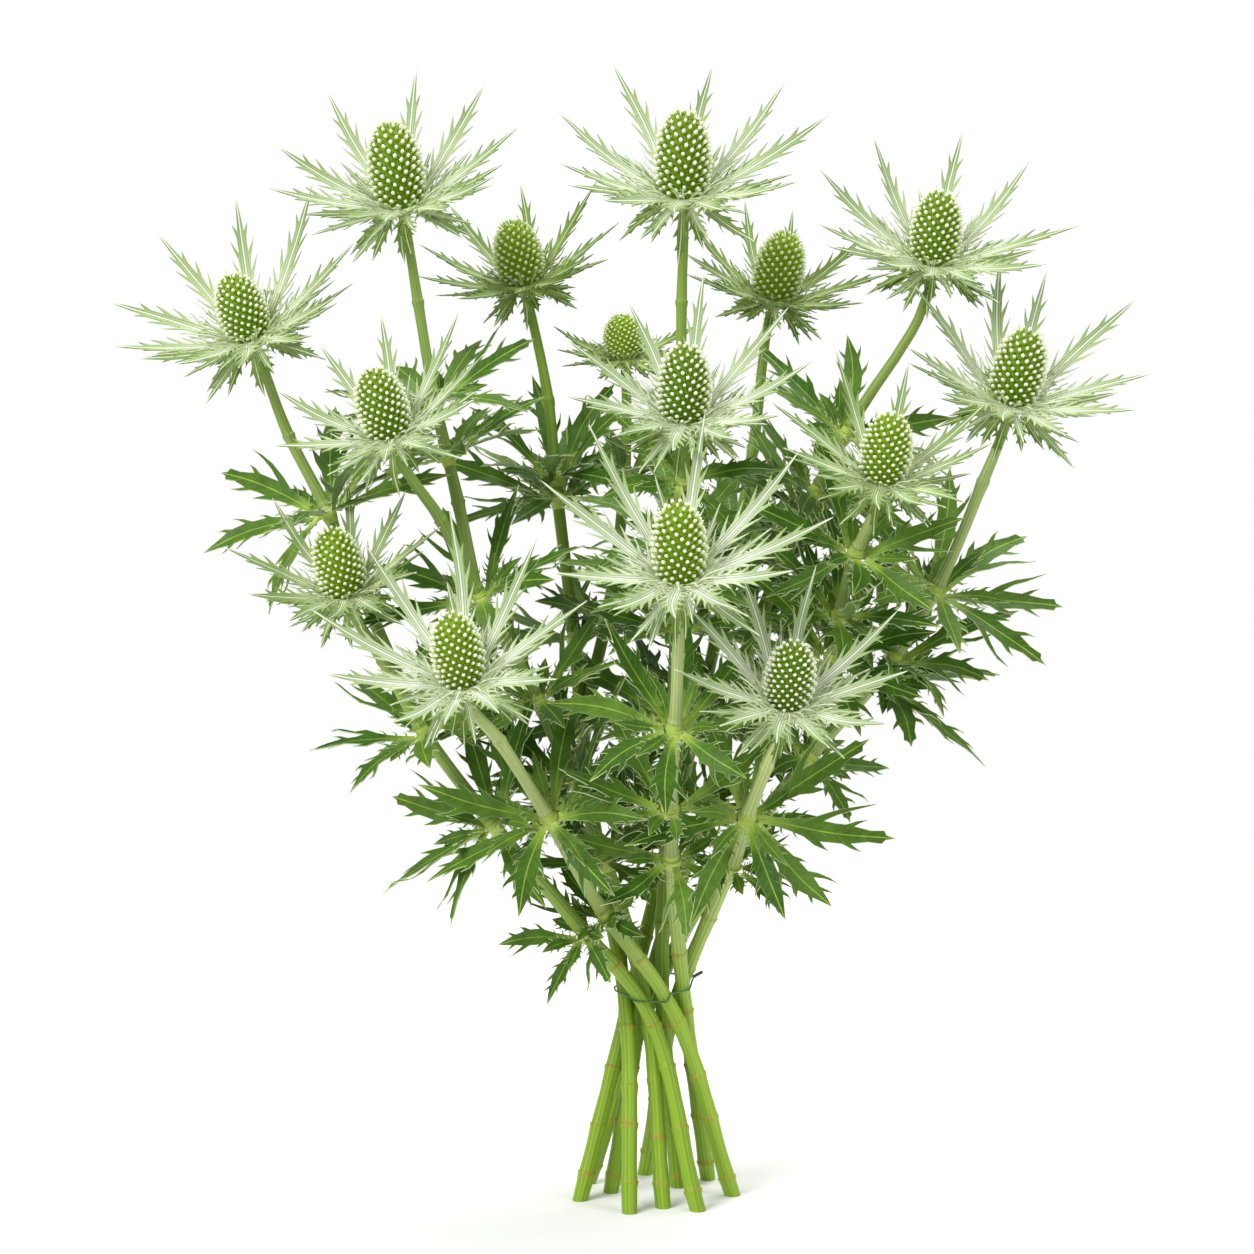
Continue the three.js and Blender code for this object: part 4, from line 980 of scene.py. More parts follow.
def leaf_finish():
    """Leathery sea holly leaf: a low gloss on dark green, with pale veins and a thin hard pale rim."""
    finish, tree = new_finish("leathery_green_leaf")
    _, off, along = blade_place(tree)
    tone = add(tree, "ShaderNodeAttribute", attribute_name="tone").outputs["Fac"]
    edge = add(tree, "ShaderNodeAttribute", attribute_name="edge").outputs["Fac"]
    under = add(tree, "ShaderNodeAttribute", attribute_name="under").outputs["Fac"]
    dark = add(tree, "ShaderNodeValToRGB", {"Fac": along}, stops=[
        (0.0, "#B4CA58"), (0.1, "#8CAC3C"), (0.3, "#3C6512"), (1.0, "#2F540B")]).outputs["Color"]
    light = add(tree, "ShaderNodeValToRGB", {"Fac": along}, stops=[
        (0.0, "#C0D26E"), (0.1, "#9CB854"), (0.3, "#64882C"), (1.0, "#577A24")]).outputs["Color"]
    body = add(tree, "ShaderNodeMix", {0: tone, 6: dark, 7: light}, data_type="RGBA").outputs[2]
    below = add(tree, "ShaderNodeMix", {0: 0.5, 6: body, 7: linear("#8FA572")}, data_type="RGBA").outputs[2]
    sides = add(tree, "ShaderNodeMix", {0: under, 6: body, 7: below}, data_type="RGBA").outputs[2]
    # Side veins leave the midrib every 5 mm, slant forward and wander a little.
    mottle = add(tree, "ShaderNodeTexNoise", {"Scale": 140.0, "Detail": 3.0,
                 "Vector": add(tree, "ShaderNodeTexCoord").outputs["Object"]}).outputs["Fac"]
    on_mm = add(tree, "ShaderNodeMath", {0: along, 1: LEAF_LENGTH}, operation="MULTIPLY").outputs[0]
    slant = add(tree, "ShaderNodeMath", {0: off, 1: SIDE_VEIN["slant"]}, operation="MULTIPLY").outputs[0]
    straight = add(tree, "ShaderNodeMath", {0: on_mm, 1: slant}, operation="SUBTRACT").outputs[0]
    wander = add(tree, "ShaderNodeMath", {0: mottle, 1: SIDE_VEIN["wander"]}, operation="MULTIPLY").outputs[0]
    phase = add(tree, "ShaderNodeMath", {0: straight, 1: wander}, operation="ADD").outputs[0]
    turns = add(tree, "ShaderNodeMath", {0: phase, 1: SIDE_VEIN["step"]}, operation="DIVIDE").outputs[0]
    step = add(tree, "ShaderNodeMath", {0: turns}, operation="FRACT").outputs[0]
    from_vein = add(tree, "ShaderNodeMath", {0: step, 1: 0.5}, operation="SUBTRACT").outputs[0]
    near_vein = add(tree, "ShaderNodeMath", {0: from_vein}, operation="ABSOLUTE").outputs[0]
    vein = add(tree, "ShaderNodeMapRange", {
        "Value": near_vein, "From Min": 0.02, "From Max": 0.08, "To Min": 0.16, "To Max": 0.0}).outputs[0]
    rib = add(tree, "ShaderNodeMapRange", {
        "Value": off, "From Min": 0.14, "From Max": 0.38, "To Min": 0.8, "To Max": 0.0}).outputs[0]
    lines = add(tree, "ShaderNodeMath", {0: vein, 1: rib}, operation="MAXIMUM").outputs[0]
    lined = add(tree, "ShaderNodeMix", {0: lines, 6: sides, 7: linear("#9DB84C")},
                data_type="RGBA").outputs[2]
    rim = add(tree, "ShaderNodeMapRange", {
        "Value": edge, "From Min": 0.1, "From Max": 0.7, "To Max": 0.7}).outputs[0]
    rimmed = add(tree, "ShaderNodeMix", {0: rim, 6: lined, 7: linear("#CEDBA8")}, data_type="RGBA").outputs[2]
    shade = add(tree, "ShaderNodeMapRange", {
        "Value": mottle, "From Min": 0.3, "From Max": 0.7, "To Min": 0.76, "To Max": 1.16}).outputs[0]
    mottled = add(tree, "ShaderNodeMix", {0: 1.0, 6: rimmed, 7: shade}, data_type="RGBA",
                  blend_type="MULTIPLY").outputs[2]
    bump = add(tree, "ShaderNodeBump", {"Height": lines, "Strength": 0.5, "Distance": 0.0003}).outputs[0]
    shader = add(tree, "ShaderNodeBsdfPrincipled", {
        "Base Color": mottled, "Normal": bump, "Roughness": 0.5, "Specular IOR Level": 0.2})
    add(tree, "ShaderNodeOutputMaterial", {"Surface": shader.outputs[0]})
    return finish


def floret_finish():
    """Closed florets: deep green cups, with round white buds that stand out of them like beads."""
    finish, tree = new_finish("floret_green_and_white")
    _, _, along = blade_place(tree)
    tone = add(tree, "ShaderNodeAttribute", attribute_name="tone").outputs["Fac"]
    spike = add(tree, "ShaderNodeAttribute", attribute_name="edge").outputs["Fac"]
    pale = add(tree, "ShaderNodeValToRGB", {"Fac": along}, stops=[
        (0.0, "#52700A"), (0.38, "#7A9A1A"), (0.5, "#A2BC4C"), (0.6, "#F1F6DA"),
        (1.0, "#FBFCF2")]).outputs["Color"]
    green = add(tree, "ShaderNodeValToRGB", {"Fac": along}, stops=[
        (0.0, "#84A414"), (0.38, "#A8C42A"), (0.5, "#BAD048"), (0.62, "#E4ECB4"),
        (1.0, "#F3F7DA")]).outputs["Color"]
    cup = add(tree, "ShaderNodeMix", {0: tone, 6: pale, 7: green}, data_type="RGBA").outputs[2]
    waxy_tip = add(tree, "ShaderNodeValToRGB", {"Fac": along}, stops=[
        (0.0, "#7E9E30"), (0.5, "#BCCF7C"), (1.0, "#EEF4D4")]).outputs["Color"]
    lime_tip = add(tree, "ShaderNodeValToRGB", {"Fac": along}, stops=[
        (0.0, "#86B00E"), (0.5, "#B4D440"), (1.0, "#E6F2AC")]).outputs["Color"]
    bristle = add(tree, "ShaderNodeMix", {0: tone, 6: waxy_tip, 7: lime_tip}, data_type="RGBA").outputs[2]
    mixed = add(tree, "ShaderNodeMix", {0: spike, 6: cup, 7: bristle}, data_type="RGBA").outputs[2]
    grain = add(tree, "ShaderNodeTexNoise", {"Scale": 900.0, "Detail": 1.0,
                "Vector": add(tree, "ShaderNodeTexCoord").outputs["Object"]}).outputs["Fac"]
    bump = add(tree, "ShaderNodeBump", {"Height": grain, "Strength": 0.3, "Distance": 0.0002}).outputs[0]
    shader = add(tree, "ShaderNodeBsdfPrincipled", {
        "Base Color": mixed, "Normal": bump, "Roughness": 0.6, "Specular IOR Level": 0.18})
    add(tree, "ShaderNodeOutputMaterial", {"Surface": shader.outputs[0]})
    return finish


STALK_TOP = 0.45  # metres up, where the stalks' colours end


def stem_finish():
    """Ridged green stalk: yellow-green at its foot, greyer with wax higher up, brown at its lower joints."""
    finish, tree = new_finish("waxy_ridged_stalk")
    place = add(tree, "ShaderNodeTexCoord").outputs["Object"]
    height = add(tree, "ShaderNodeSeparateXYZ", {"Vector": place}).outputs["Z"]
    share = add(tree, "ShaderNodeMath", {0: height, 1: STALK_TOP}, operation="DIVIDE").outputs[0]
    tone = add(tree, "ShaderNodeAttribute", attribute_name="tone").outputs["Fac"]
    waxy = add(tree, "ShaderNodeValToRGB", {"Fac": share}, stops=[
        (0.0, "#92B42C"), (0.2, "#9ABA3A"), (0.36, "#B6C77C"), (0.7, "#BCCB88"),
        (1.0, "#B6C684")]).outputs["Color"]
    fresh = add(tree, "ShaderNodeValToRGB", {"Fac": share}, stops=[
        (0.0, "#86AA20"), (0.2, "#88AA2A"), (0.4, "#7B9A30"), (0.7, "#7A9A2C"),
        (1.0, "#80A22C")]).outputs["Color"]
    body = add(tree, "ShaderNodeMix", {0: tone, 6: waxy, 7: fresh}, data_type="RGBA").outputs[2]
    # Streaks about 1 mm wide, which run the whole way along the stalk with its ridges: a chance tone for
    # each, and painted shade that darkens the furrows and lightens the ridges.
    streak_and_furrow_shade = add(tree, "ShaderNodeAttribute", attribute_name="streak_and_furrow_shade").outputs["Fac"]
    shade = add(tree, "ShaderNodeMapRange", {"Value": streak_and_furrow_shade, "To Min": 0.6, "To Max": 1.12}).outputs[0]
    streaked_and_furrow_shaded = add(tree, "ShaderNodeMix", {0: 1.0, 6: body, 7: shade}, data_type="RGBA",
                   blend_type="MULTIPLY").outputs[2]
    # Brown marks about 2 mm long, in broken arcs round each joint.
    scar = add(tree, "ShaderNodeAttribute", attribute_name="joint").outputs["Fac"]
    torn = add(tree, "ShaderNodeTexNoise", {"Vector": place, "Scale": 300.0, "Detail": 3.0}).outputs["Fac"]
    patch = add(tree, "ShaderNodeMapRange", {
        "Value": torn, "From Min": 0.47, "From Max": 0.56, "To Min": 0.0, "To Max": 0.8}).outputs[0]
    scarred = add(tree, "ShaderNodeMath", {0: scar, 1: patch}, operation="MULTIPLY").outputs[0]
    brown = add(tree, "ShaderNodeMix", {0: scarred, 6: streaked_and_furrow_shaded, 7: linear("#A5792E")},
                data_type="RGBA").outputs[2]
    bump = add(tree, "ShaderNodeBump", {"Height": streak_and_furrow_shade, "Strength": 0.35, "Distance": 0.0003}).outputs[0]
    shader = add(tree, "ShaderNodeBsdfPrincipled", {
        "Base Color": brown, "Normal": bump, "Roughness": 0.5, "Specular IOR Level": 0.4})
    add(tree, "ShaderNodeOutputMaterial", {"Surface": shader.outputs[0]})
    return finish


def wire_finish():
    """Soft steel wire in a green plastic coat: a little shiny, with small rubbed places."""
    finish, tree = new_finish("green_coated_wire")
    rubbed = add(tree, "ShaderNodeTexNoise", {"Scale": 500.0, "Detail": 2.0,
                 "Vector": add(tree, "ShaderNodeTexCoord").outputs["Object"]}).outputs["Fac"]
    coat = add(tree, "ShaderNodeValToRGB", {"Fac": rubbed}, stops=[
        (0.3, "#2C5228"), (0.55, "#3D6B35"), (0.8, "#5E8A4C")]).outputs["Color"]
    rough = add(tree, "ShaderNodeMapRange", {"Value": rubbed, "To Min": 0.3, "To Max": 0.55}).outputs[0]
    shader = add(tree, "ShaderNodeBsdfPrincipled", {"Base Color": coat, "Roughness": rough})
    add(tree, "ShaderNodeOutputMaterial", {"Surface": shader.outputs[0]})
    return finish


def floor_finish():
    """White studio sweep: matt painted board."""
    finish, tree = new_finish("white_studio_board")
    shader = add(tree, "ShaderNodeBsdfPrincipled", {
        "Base Color": linear("#F7F7F5"), "Roughness": 0.9, "Specular IOR Level": 0.1})
    add(tree, "ShaderNodeOutputMaterial", {"Surface": shader.outputs[0]})
    return finish


FINISHES = {"bract": bract_finish(), "leaf": leaf_finish(), "floret": floret_finish(),
            "stem": stem_finish(), "tie_wire": wire_finish()}


def hand_over(piece, slot, *nodes):
    """Gives a piece the finish of its slot and its body, and hides the solids that it stands for."""
    piece.data.materials.clear()
    piece.data.materials.append(FINISHES[slot])
    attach(piece, "root")
    if nodes:
        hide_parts(*nodes)


# ---------- heads ----------
GOLDEN_ANGLE = math.radians(137.508)
FLORET_SPACING = 3.4
FLORET_CELL = 0.866  # the area round each floret, as a share of their spacing squared
FLORET_LEAN = 0.55  # how far the florets lean towards the top of the cone
FLORET_ROOT = 0.5  # how deep they stand in the core
FLORET_UNEVEN = 0.1
COVERED = {"from": 0.02, "to": 0.985, "rows": 400}  # the part of a cone's height that has florets
SLOPE_REACH = 8  # square millimetres of cone above and below a floret, which its slope is taken over
NEAR_TOP = {"smaller": 0.15, "reach": 0.2}  # by how much florets shrink, over the last part of the cone
# Two bristles beside each floret, which lean away from it.
BRISTLES = {"sides": (1, -0.35), "off": 1.55, "drop": -0.8, "lean": 0.2}


def tinted(piece, tone):
    mark(piece, "tone", np.full(len(piece.data.vertices), tone))
    return piece


def cone_master():
    """A cone of size 1, standing on the origin: its core, with florets and bristles in a spiral."""
    core, floret, spike = core_master(), floret_master(), spike_master()
    shares = np.linspace(COVERED["from"], COVERED["to"], COVERED["rows"])
    radii = np.array([cone_radius(1, t) for t in shares]) * CORE_SHARE
    heights = shares * CONE["length"]
    rings = np.hypot(np.diff(radii), np.diff(heights)) * math.pi * (radii[1:] + radii[:-1])
    area = np.concatenate([[0], np.cumsum(rings)])
    count = round(area[-1] / (FLORET_SPACING**2 * FLORET_CELL))
    pieces = [core]
    for k in range(count):
        at = (k + 0.5) / count * area[-1]
        above, below = at + SLOPE_REACH, at - SLOPE_REACH
        r, z = np.interp(at, area, radii), np.interp(at, area, heights)
        dr = np.interp(above, area, radii) - np.interp(below, area, radii)
        dz = np.interp(above, area, heights) - np.interp(below, area, heights)
        turn = k * GOLDEN_ANGLE
        out = np.array([math.cos(turn), math.sin(turn), 0.0])
        normal = unit(out * dz - np.array([0.0, 0.0, dr]))
        lean = unit(normal + np.array([0.0, 0.0, FLORET_LEAN]))
        base = (out * r + [0, 0, z]) * MM - normal * FLORET_ROOT * MM
        from_top = clamp01((1 - at / area[-1]) / NEAR_TOP["reach"])
        size = (1 + FLORET_UNEVEN * draw(k + 3)) * (1 - NEAR_TOP["smaller"] + NEAR_TOP["smaller"] * from_top)
        pieces.append(stand(copy_of(floret), base, lean, draw(k) * math.pi, size, size))
        across = unit(np.cross(normal, [0, 0, 1.0]) + np.array([0.0, 0.0, BRISTLES["drop"]]))
        for side in BRISTLES["sides"]:
            root = base + across * side * BRISTLES["off"] * MM
            way = lean + BRISTLES["lean"] * side * across
            pieces.append(stand(copy_of(spike), root, way, draw(k + 9), 1, size))
    for spare in (floret, spike):
        bpy.data.objects.remove(spare)
    return join("cone_master", pieces)


def make_cone(name, head, master):
    """The cone of one head, or the bud, in its place."""
    slim = head.get("slim", 1)
    wide = math.sqrt(head["cone"]) * slim
    piece = stand(copy_of(master), (seat_of(head) + MIDDLE) * MM, head_axis(head), draw(len(name)) * math.pi,
                  wide, head["cone"])
    piece.name = name
    return tinted(piece, head.get("lime", head["green"]))


def finish_as(obj, across, along):
    """Gives a whole piece the finish of one place on a blade's map."""
    count = len(obj.data.vertices)
    own_map(obj, np.full(count, across), np.full(count, along))
    mark(obj, "edge", np.zeros(count))
    mark(obj, "under", np.zeros(count))


RECEPTACLE = {"radius": 8.4, "height": 5.2, "bevel": 0.6}


def receptacle(head):
    """The green cup under a cone, which all its bracts grow from."""
    height = RECEPTACLE["height"] * MM
    obj = new_primitive("receptacle", bpy.ops.mesh.primitive_cone_add, vertices=20,
                        radius1=STEM["neck_radius"] * MM,
                        radius2=RECEPTACLE["radius"] * math.sqrt(head["cone"]) * MM,
                        depth=height, location=(0, 0, height / 2), end_fill_type="NGON")
    start_editing(obj)
    choose(obj, lambda p: p.z > 0)
    bpy.ops.mesh.bevel(offset=RECEPTACLE["bevel"] * MM, segments=2, affect="EDGES")
    stop_editing()
    bpy.ops.object.transform_apply(location=True)
    smooth(obj, 60)
    finish_as(obj, 0.8, 0.3)
    return stand(obj, (np.array(head["at"]) + MIDDLE) * MM, head_axis(head))


# How the bracts of each tier are bent. Green is the share of their head's own green that they take, what
# is added to it and how much it varies.
TIER_LOOKS = (
    dict(kind="bract", bend=dict(fold=0.22, ripple=0.1, sway=2.2, twist=0.5), green=(1, 0, 0.12)),
    dict(kind="short", bend=dict(fold=0.2, ripple=0.12, sway=1.6, twist=0.5), green=(1, 0.3, 0.2)),
    dict(kind="small", bend=dict(fold=0.2, ripple=0.12, sway=1.0, twist=0.4), green=(0, 1, 0)),
)
# Blades thin enough to need no room of their own: needles that fill the ruff, short bracts between the long
# ones and small ones below. Rise and length are what they are on average and how much they vary.
FILLERS = (
    dict(kind="needle", seeds=(41, 7000), count=16, height=4.6, start=0, uneven=0.3, rise=(48, 8), curl=-14,
         length=(24, 6), scale=1, bend=dict(fold=0.2, ripple=0, sway=0.8, twist=0.5), green=(0.8, 0, 0)),
    dict(kind="short", seeds=(43, 9000), count=10, height=3.8, start=28, uneven=0.2, rise=(14, 8), curl=8,
         length=(36, 6), scale=0.72, bend=dict(fold=0.2, ripple=0.1, sway=1.4, twist=0.5),
         green=(1, 0.1, 0.2)),
    dict(kind="small", seeds=(47, 11000), count=8, height=1.2, start=12, uneven=0.3, rise=(-24, 10),
         curl=-16, length=(20, 4), scale=1, bend=dict(fold=0.2, ripple=0.1, sway=0.8, twist=0.4),
         green=(0, 1, 0)),
)
FILLER_ROOT = 7.6  # how far from the axis of a head of size 1 they start


def filler_blade(head, h, rule, k):
    """One of the thin blades of a ruff."""
    seed = h * rule["seeds"][0] + k * 5 + rule["seeds"][1]
    length = (rule["length"][0] + rule["length"][1] * draw(seed)) * head["ruff"]
    turn = rule["start"] + 360 * (k + rule["uneven"] * draw(seed + 1)) / rule["count"]
    rise = rule["rise"][0] + rule["rise"][1] * draw(seed + 2)
    axis = head_axis(head)
    place = frame_of(axis)
    out = out_of(place, turn) * FILLER_ROOT * math.sqrt(head["cone"])
    start = np.array(head["at"]) + axis * rule["height"] + out
    spine, side = spine_from(start, facing(place, RUFF_TILT), turn, rise, rule["curl"], length)
    return dict(spine=spine, side=side, scale=math.sqrt(head["ruff"]) * rule["scale"], seed=seed)


def bract_of(head, look, blade, chance, masters):
    """One bract, bent along its blade and as green as its head and chance make it."""
    share, more, spread = look["green"]
    piece = bent_copy(masters[look["kind"]], blade, **look["bend"])
    return tinted(piece, clamp01(head["green"] * share + more + spread * chance))


def make_ruff(name, head, h, masters):
    """All bracts of one head: silvery long ones, shorter ones, needles and a green ring below."""
    pieces = [tinted(receptacle(head), 1)]
    for tier, look in zip(ruffs[name], TIER_LOOKS):
        for blade in tier:
            pieces.append(bract_of(head, look, blade, draw(blade["seed"] + 20), masters))
    for rule in FILLERS:
        for k in range(rule["count"]):
            blade = filler_blade(head, h, rule, k)
            pieces.append(bract_of(head, rule, blade, draw(blade["seed"] + 3), masters))
    return join(name + "_bracts", pieces)


# ---------- leaves ----------
LEAF_KINDS = ("lance", "toothed_left", "toothed_right", "forked_left", "forked_right")
LOBES = dict(bend=dict(fold=0.16, ripple=0.12, sway=3.0, twist=0.8), tone=0.4, tone_spread=0.5)
# Small green lobes at the root of each whorl.
BASAL_LOBES = dict(count=6, uneven=0.4, rise=24, rise_spread=18, curl=-22, length=0.48, length_spread=0.25,
                   scale=0.6, bend=dict(fold=0.2, ripple=0.14, sway=1.5, twist=0.8), tone=0.5,
                   tone_spread=0.4)
# The sheath's funnel: its foot as a share of the stem's radius, and by how much its top is wider than the
# stem. Then its rim and its sleeve.
SHEATH = {"foot": 0.96, "wider": 1.0, "height": 5, "middle": -2.1, "rim": 0.5, "rim_size": 1.04,
          "rim_width": 0.9, "sleeve": 2.6, "sleeve_size": 0.9, "tone": 0.8}


def collar(centre, axis, radius):
    """The sheath of a whorl: a funnel that widens up to a thin rim, and a short green sleeve above it."""
    obj = new_primitive("collar", bpy.ops.mesh.primitive_cone_add, vertices=16,
                        radius1=radius * SHEATH["foot"] * MM, radius2=(radius + SHEATH["wider"]) * MM,
                        depth=SHEATH["height"] * MM, location=(0, 0, SHEATH["middle"] * MM),
                        end_fill_type="NGON")
    start_editing(obj)
    choose(obj, lambda p: p.z > 0)
    grow(obj, (0, 0, SHEATH["rim"] * MM), SHEATH["rim_size"])
    bpy.ops.mesh.inset(thickness=SHEATH["rim_width"] * MM)
    grow(obj, (0, 0, SHEATH["sleeve"] * MM), SHEATH["sleeve_size"])
    stop_editing()
    bpy.ops.object.transform_apply(location=True)
    smooth(obj, 50)
    finish_as(obj, 0.6, 0.02)
    return stand(obj, (centre + MIDDLE) * MM, axis)


def lobe_of(master, blade, look, chance):
    """One lobe of a leaf, bent along its blade and as light as chance makes it."""
    tone = look["tone"] + look["tone_spread"] * chance
    return tinted(bent_copy(master, blade, **look["bend"]), clamp01(tone))


def basal_blade(centre, axis, whorl, seed, k):
    """One of the small lobes at the root of a whorl."""
    place = frame_of(axis)
    turn = 360 * (k + BASAL_LOBES["uneven"] * draw(seed)) / BASAL_LOBES["count"]
    rise = BASAL_LOBES["rise"] + BASAL_LOBES["rise_spread"] * draw(seed + 1)
    length = BASAL_LOBES["length"] * whorl["length"] * (1 + BASAL_LOBES["length_spread"] * draw(seed + 2))
    start = centre + out_of(place, turn) * (radius_at(centre[2]) + COLLAR["wall"])
    spine, side = spine_from(start, facing(place, LEAF["tilt"]), turn, rise, BASAL_LOBES["curl"], length)
    return dict(spine=spine, side=side, scale=BASAL_LOBES["scale"], seed=seed)


def make_whorl(name, whorl, blades, masters):
    """One whorl of leaves, its lobes folded at the midrib and rippled at their edges."""
    centre, axis = whorl_place(limbs, whorl)
    pieces = [tinted(collar(centre, axis, radius_at(centre[2])), SHEATH["tone"])]
    for blade in blades:
        kind = LEAF_KINDS[int((draw(blade["seed"] + 30) + 1) / 2 * len(LEAF_KINDS))]
        pieces.append(lobe_of(masters[kind], blade, LOBES, draw(blade["seed"] + 31)))
    for k in range(BASAL_LOBES["count"]):
        seed = len(name) * 31 + whorl["turn"] * 3 + k * 7 + 15000
        blade = basal_blade(centre, axis, whorl, seed, k)
        pieces.append(lobe_of(masters["lance"], blade, BASAL_LOBES, draw(seed + 3)))
    return join(name, pieces)


# ---------- stalks ----------
RING_STEP = 7
CLOSEST_RINGS = 0.25  # millimetres between them, on the longest stretch of a stem
STALK_SIDES = 24
RIDGE = 0.95  # of the radius, in the furrows between the ridges
FURROW_SHADE_SHARE = 0.5  # how much of a streak's tone is painted shade, darker in the furrows and lighter on the ridges, and not chance
LEDGE = {"swell": 0.5, "below": 2.6, "above": 0.7}  # a joint swells slowly and ends in a small ledge
JOINT_RINGS = (-5, -2.5, -1, 0, 0.35, 0.7, 2)
SCAR_REACH = 1.5
SCARRED_BELOW, SCARS_FADE = 120, 40  # joints higher up have no brown marks
WAIST = {"reach": 12, "share": 0.09}  # a stalk is slimmer between its joints
SLIMMING = {"reach": 110, "share": 0.14}  # and just under its head
LOW_JOINTS = (0.1, 0.36, 0.6, 0.86)  # shares of the way from the foot to the tie
LOW_JOINTS_VARY = 0.05
JOINT_OVER_TIE = {"at": 1.35, "vary": 0.1}  # counted in the stem's own points, of which the tie is 1


def joints_of(name, fork, curve, joints):
    """The joints of a stalk that show: its own, those of its small leaves and those near its foot."""
    leafy = {w["joint"] for w in INNER_WHORLS if (w["stem"], w.get("fork")) == (name, fork)}
    if fork is not None:
        return sorted({*joints, *leafy})
    low = [u + LOW_JOINTS_VARY * draw(curve.points[0][0] + 9 * u) for u in LOW_JOINTS]
    over_tie = JOINT_OVER_TIE["at"] + JOINT_OVER_TIE["vary"] * draw(curve.points[0][1])
    return sorted({*joints, *leafy, *low, over_tie})


def stations(curve, joints):
    """Where a stalk has its rings: evenly spaced, and closer together at its joints."""
    found = {float(curve.last)}
    for i, gap in enumerate(curve.gaps):
        steps = max(2, round(gap / RING_STEP))
        found.update(i + k / steps for k in range(steps))
    for joint in joints:
        gap = curve.gaps[min(curve.last - 1, int(joint))]
        found.update(joint + d / gap for d in JOINT_RINGS)
    kept = [0.0]
    for u in sorted(found):
        if u > kept[-1] + CLOSEST_RINGS / max(curve.gaps) and u <= curve.last:
            kept.append(u)
    return kept


def ringed_tube(name, sides, rings):
    """A closed round bar of size 1 along +Z, cut into rings, with the ring of each of its points."""
    obj = new_primitive(name, bpy.ops.mesh.primitive_circle_add, vertices=sides, radius=1, fill_type="NGON")
    start_editing(obj)
    bpy.ops.mesh.select_all(action="SELECT")
    bpy.ops.mesh.flip_normals()
    bpy.ops.mesh.extrude_region_move(TRANSFORM_OT_translate={"value": (0, 0, 1)})
    bpy.ops.mesh.select_mode(type="EDGE")
    bpy.ops.mesh.select_all(action="DESELECT")
    mesh = bmesh.from_edit_mesh(obj.data)
    for side in mesh.edges:
        side.select_set(abs(side.verts[0].co.z - side.verts[1].co.z) > 0.5)
    bmesh.update_edit_mesh(obj.data)
    bpy.ops.mesh.subdivide(number_cuts=rings - 2)
    stop_editing()
    flat = points_of(obj)
    return obj, flat, np.rint(flat[:, 2] * (rings - 1)).astype(int)


def stalk(curve, joints):
    """A ridged stalk along a curve, swollen at its joints and cut level where it stands on the ground."""
    rings = stations(curve, joints)
    obj, flat, ring = ringed_tube("stalk", STALK_SIDES, len(rings))
    turn = np.arctan2(flat[:, 1], flat[:, 0])
    side = np.rint(turn / (2 * math.pi / STALK_SIDES)).astype(int) % STALK_SIDES
    ridge = np.where(side % 2 == 0, 1, RIDGE)
    uneven = np.array([0.5 + 0.5 * draw(5 * k + curve.points[0][0]) for k in range(STALK_SIDES)])
    # Painted shade: the furrows are darker and the ridges lighter, mixed with a chance tone for each side of
    # the stalk.
    streak_and_furrow_shade = FURROW_SHADE_SHARE * (side % 2 == 0) + (1 - FURROW_SHADE_SHARE) * uneven[side]
    points, scar = np.zeros_like(flat), np.zeros(len(flat))
    helper = np.array([0.0, 1.0, 0.0])
    for k, u in enumerate(rings):
        here = ring == k
        centre, up = curve.at(u), curve.direction(u)
        back = unit(helper - up * np.dot(up, helper))
        right = np.cross(back, up)
        offs = [(u - j) * curve.gaps[min(curve.last - 1, int(j))] for j in joints]
        swell = max(clamp01(1 + off / LEDGE["below"]) if off < 0 else clamp01(1 - off / LEDGE["above"])
                    for off in offs)
        to_head = (curve.last - u) * curve.gaps[-1]
        slim = 1 - SLIMMING["share"] * clamp01(1 - to_head / SLIMMING["reach"])
        to_joint = min(abs(off) for off in offs)
        waist = 1 - WAIST["share"] * clamp01(to_joint / WAIST["reach"])
        radius = radius_at(centre[2]) * slim * waist * ridge[here] + LEDGE["swell"] * swell
        outward = right * np.cos(turn[here])[:, None] + back * np.sin(turn[here])[:, None]
        points[here] = centre + outward * radius[:, None]
        fading = clamp01(1 - (centre[2] - SCARRED_BELOW) / SCARS_FADE)
        scar[here] = fading * clamp01(1 - to_joint / SCAR_REACH)
        if k == 0 and centre[2] < 0.01:
            points[here] -= up * (points[here][:, 2] / up[2])[:, None]
    set_points(obj, (points + MIDDLE) * MM)
    smooth(obj, 50)
    mark(obj, "joint", scar)
    mark(obj, "streak_and_furrow_shade", streak_and_furrow_shade)
    return obj


# How fresh a green each stem is, from pale and waxy at the front to bright at the back.
FRESHNESS = {"stem_01": 0.05, "stem_02": 0.75, "stem_03": 0.8, "stem_04": 1, "stem_05": 0.9, "stem_06": 0.8,
             "stem_07": 0.45, "stem_08": 0, "stem_09": 0.1, "stem_10": 0.9}


def make_stem(name):
    """A stem with its forks and its joints."""
    pieces = []
    for f, (curve, joints) in enumerate(limbs[name]):
        pieces.append(stalk(curve, joints_of(name, f - 1 if f else None, curve, joints)))
    return tinted(join(name + "_stalk", pieces), FRESHNESS[name])


# ---------- tie ----------
WIRE = {"radius": 0.42, "sides": 8, "steps": 64}
TWIST = {"length": 5, "turns": 2, "steps": 44, "apart": 1.02, "way": (0.75, -0.35, 0.5)}
SLACK = {"middle": 3, "right": 2, "front": 5}  # how far the wire rides up on the stems, and sags at the front


def stem_edge(curve, out, lift):
    """The edge of a stem's slanting section, so far above the tie's level, that lies furthest out."""
    lean = curve.direction(1)
    drift = np.array([lean[0], lean[1], 0]) / lean[2]
    reach = out + drift * np.dot(out, drift)
    edge = curve.at(1) + reach * radius_at(TIE["height"]) / math.sqrt(np.dot(reach, out))
    return edge + (drift + [0, 0, 1]) * lift


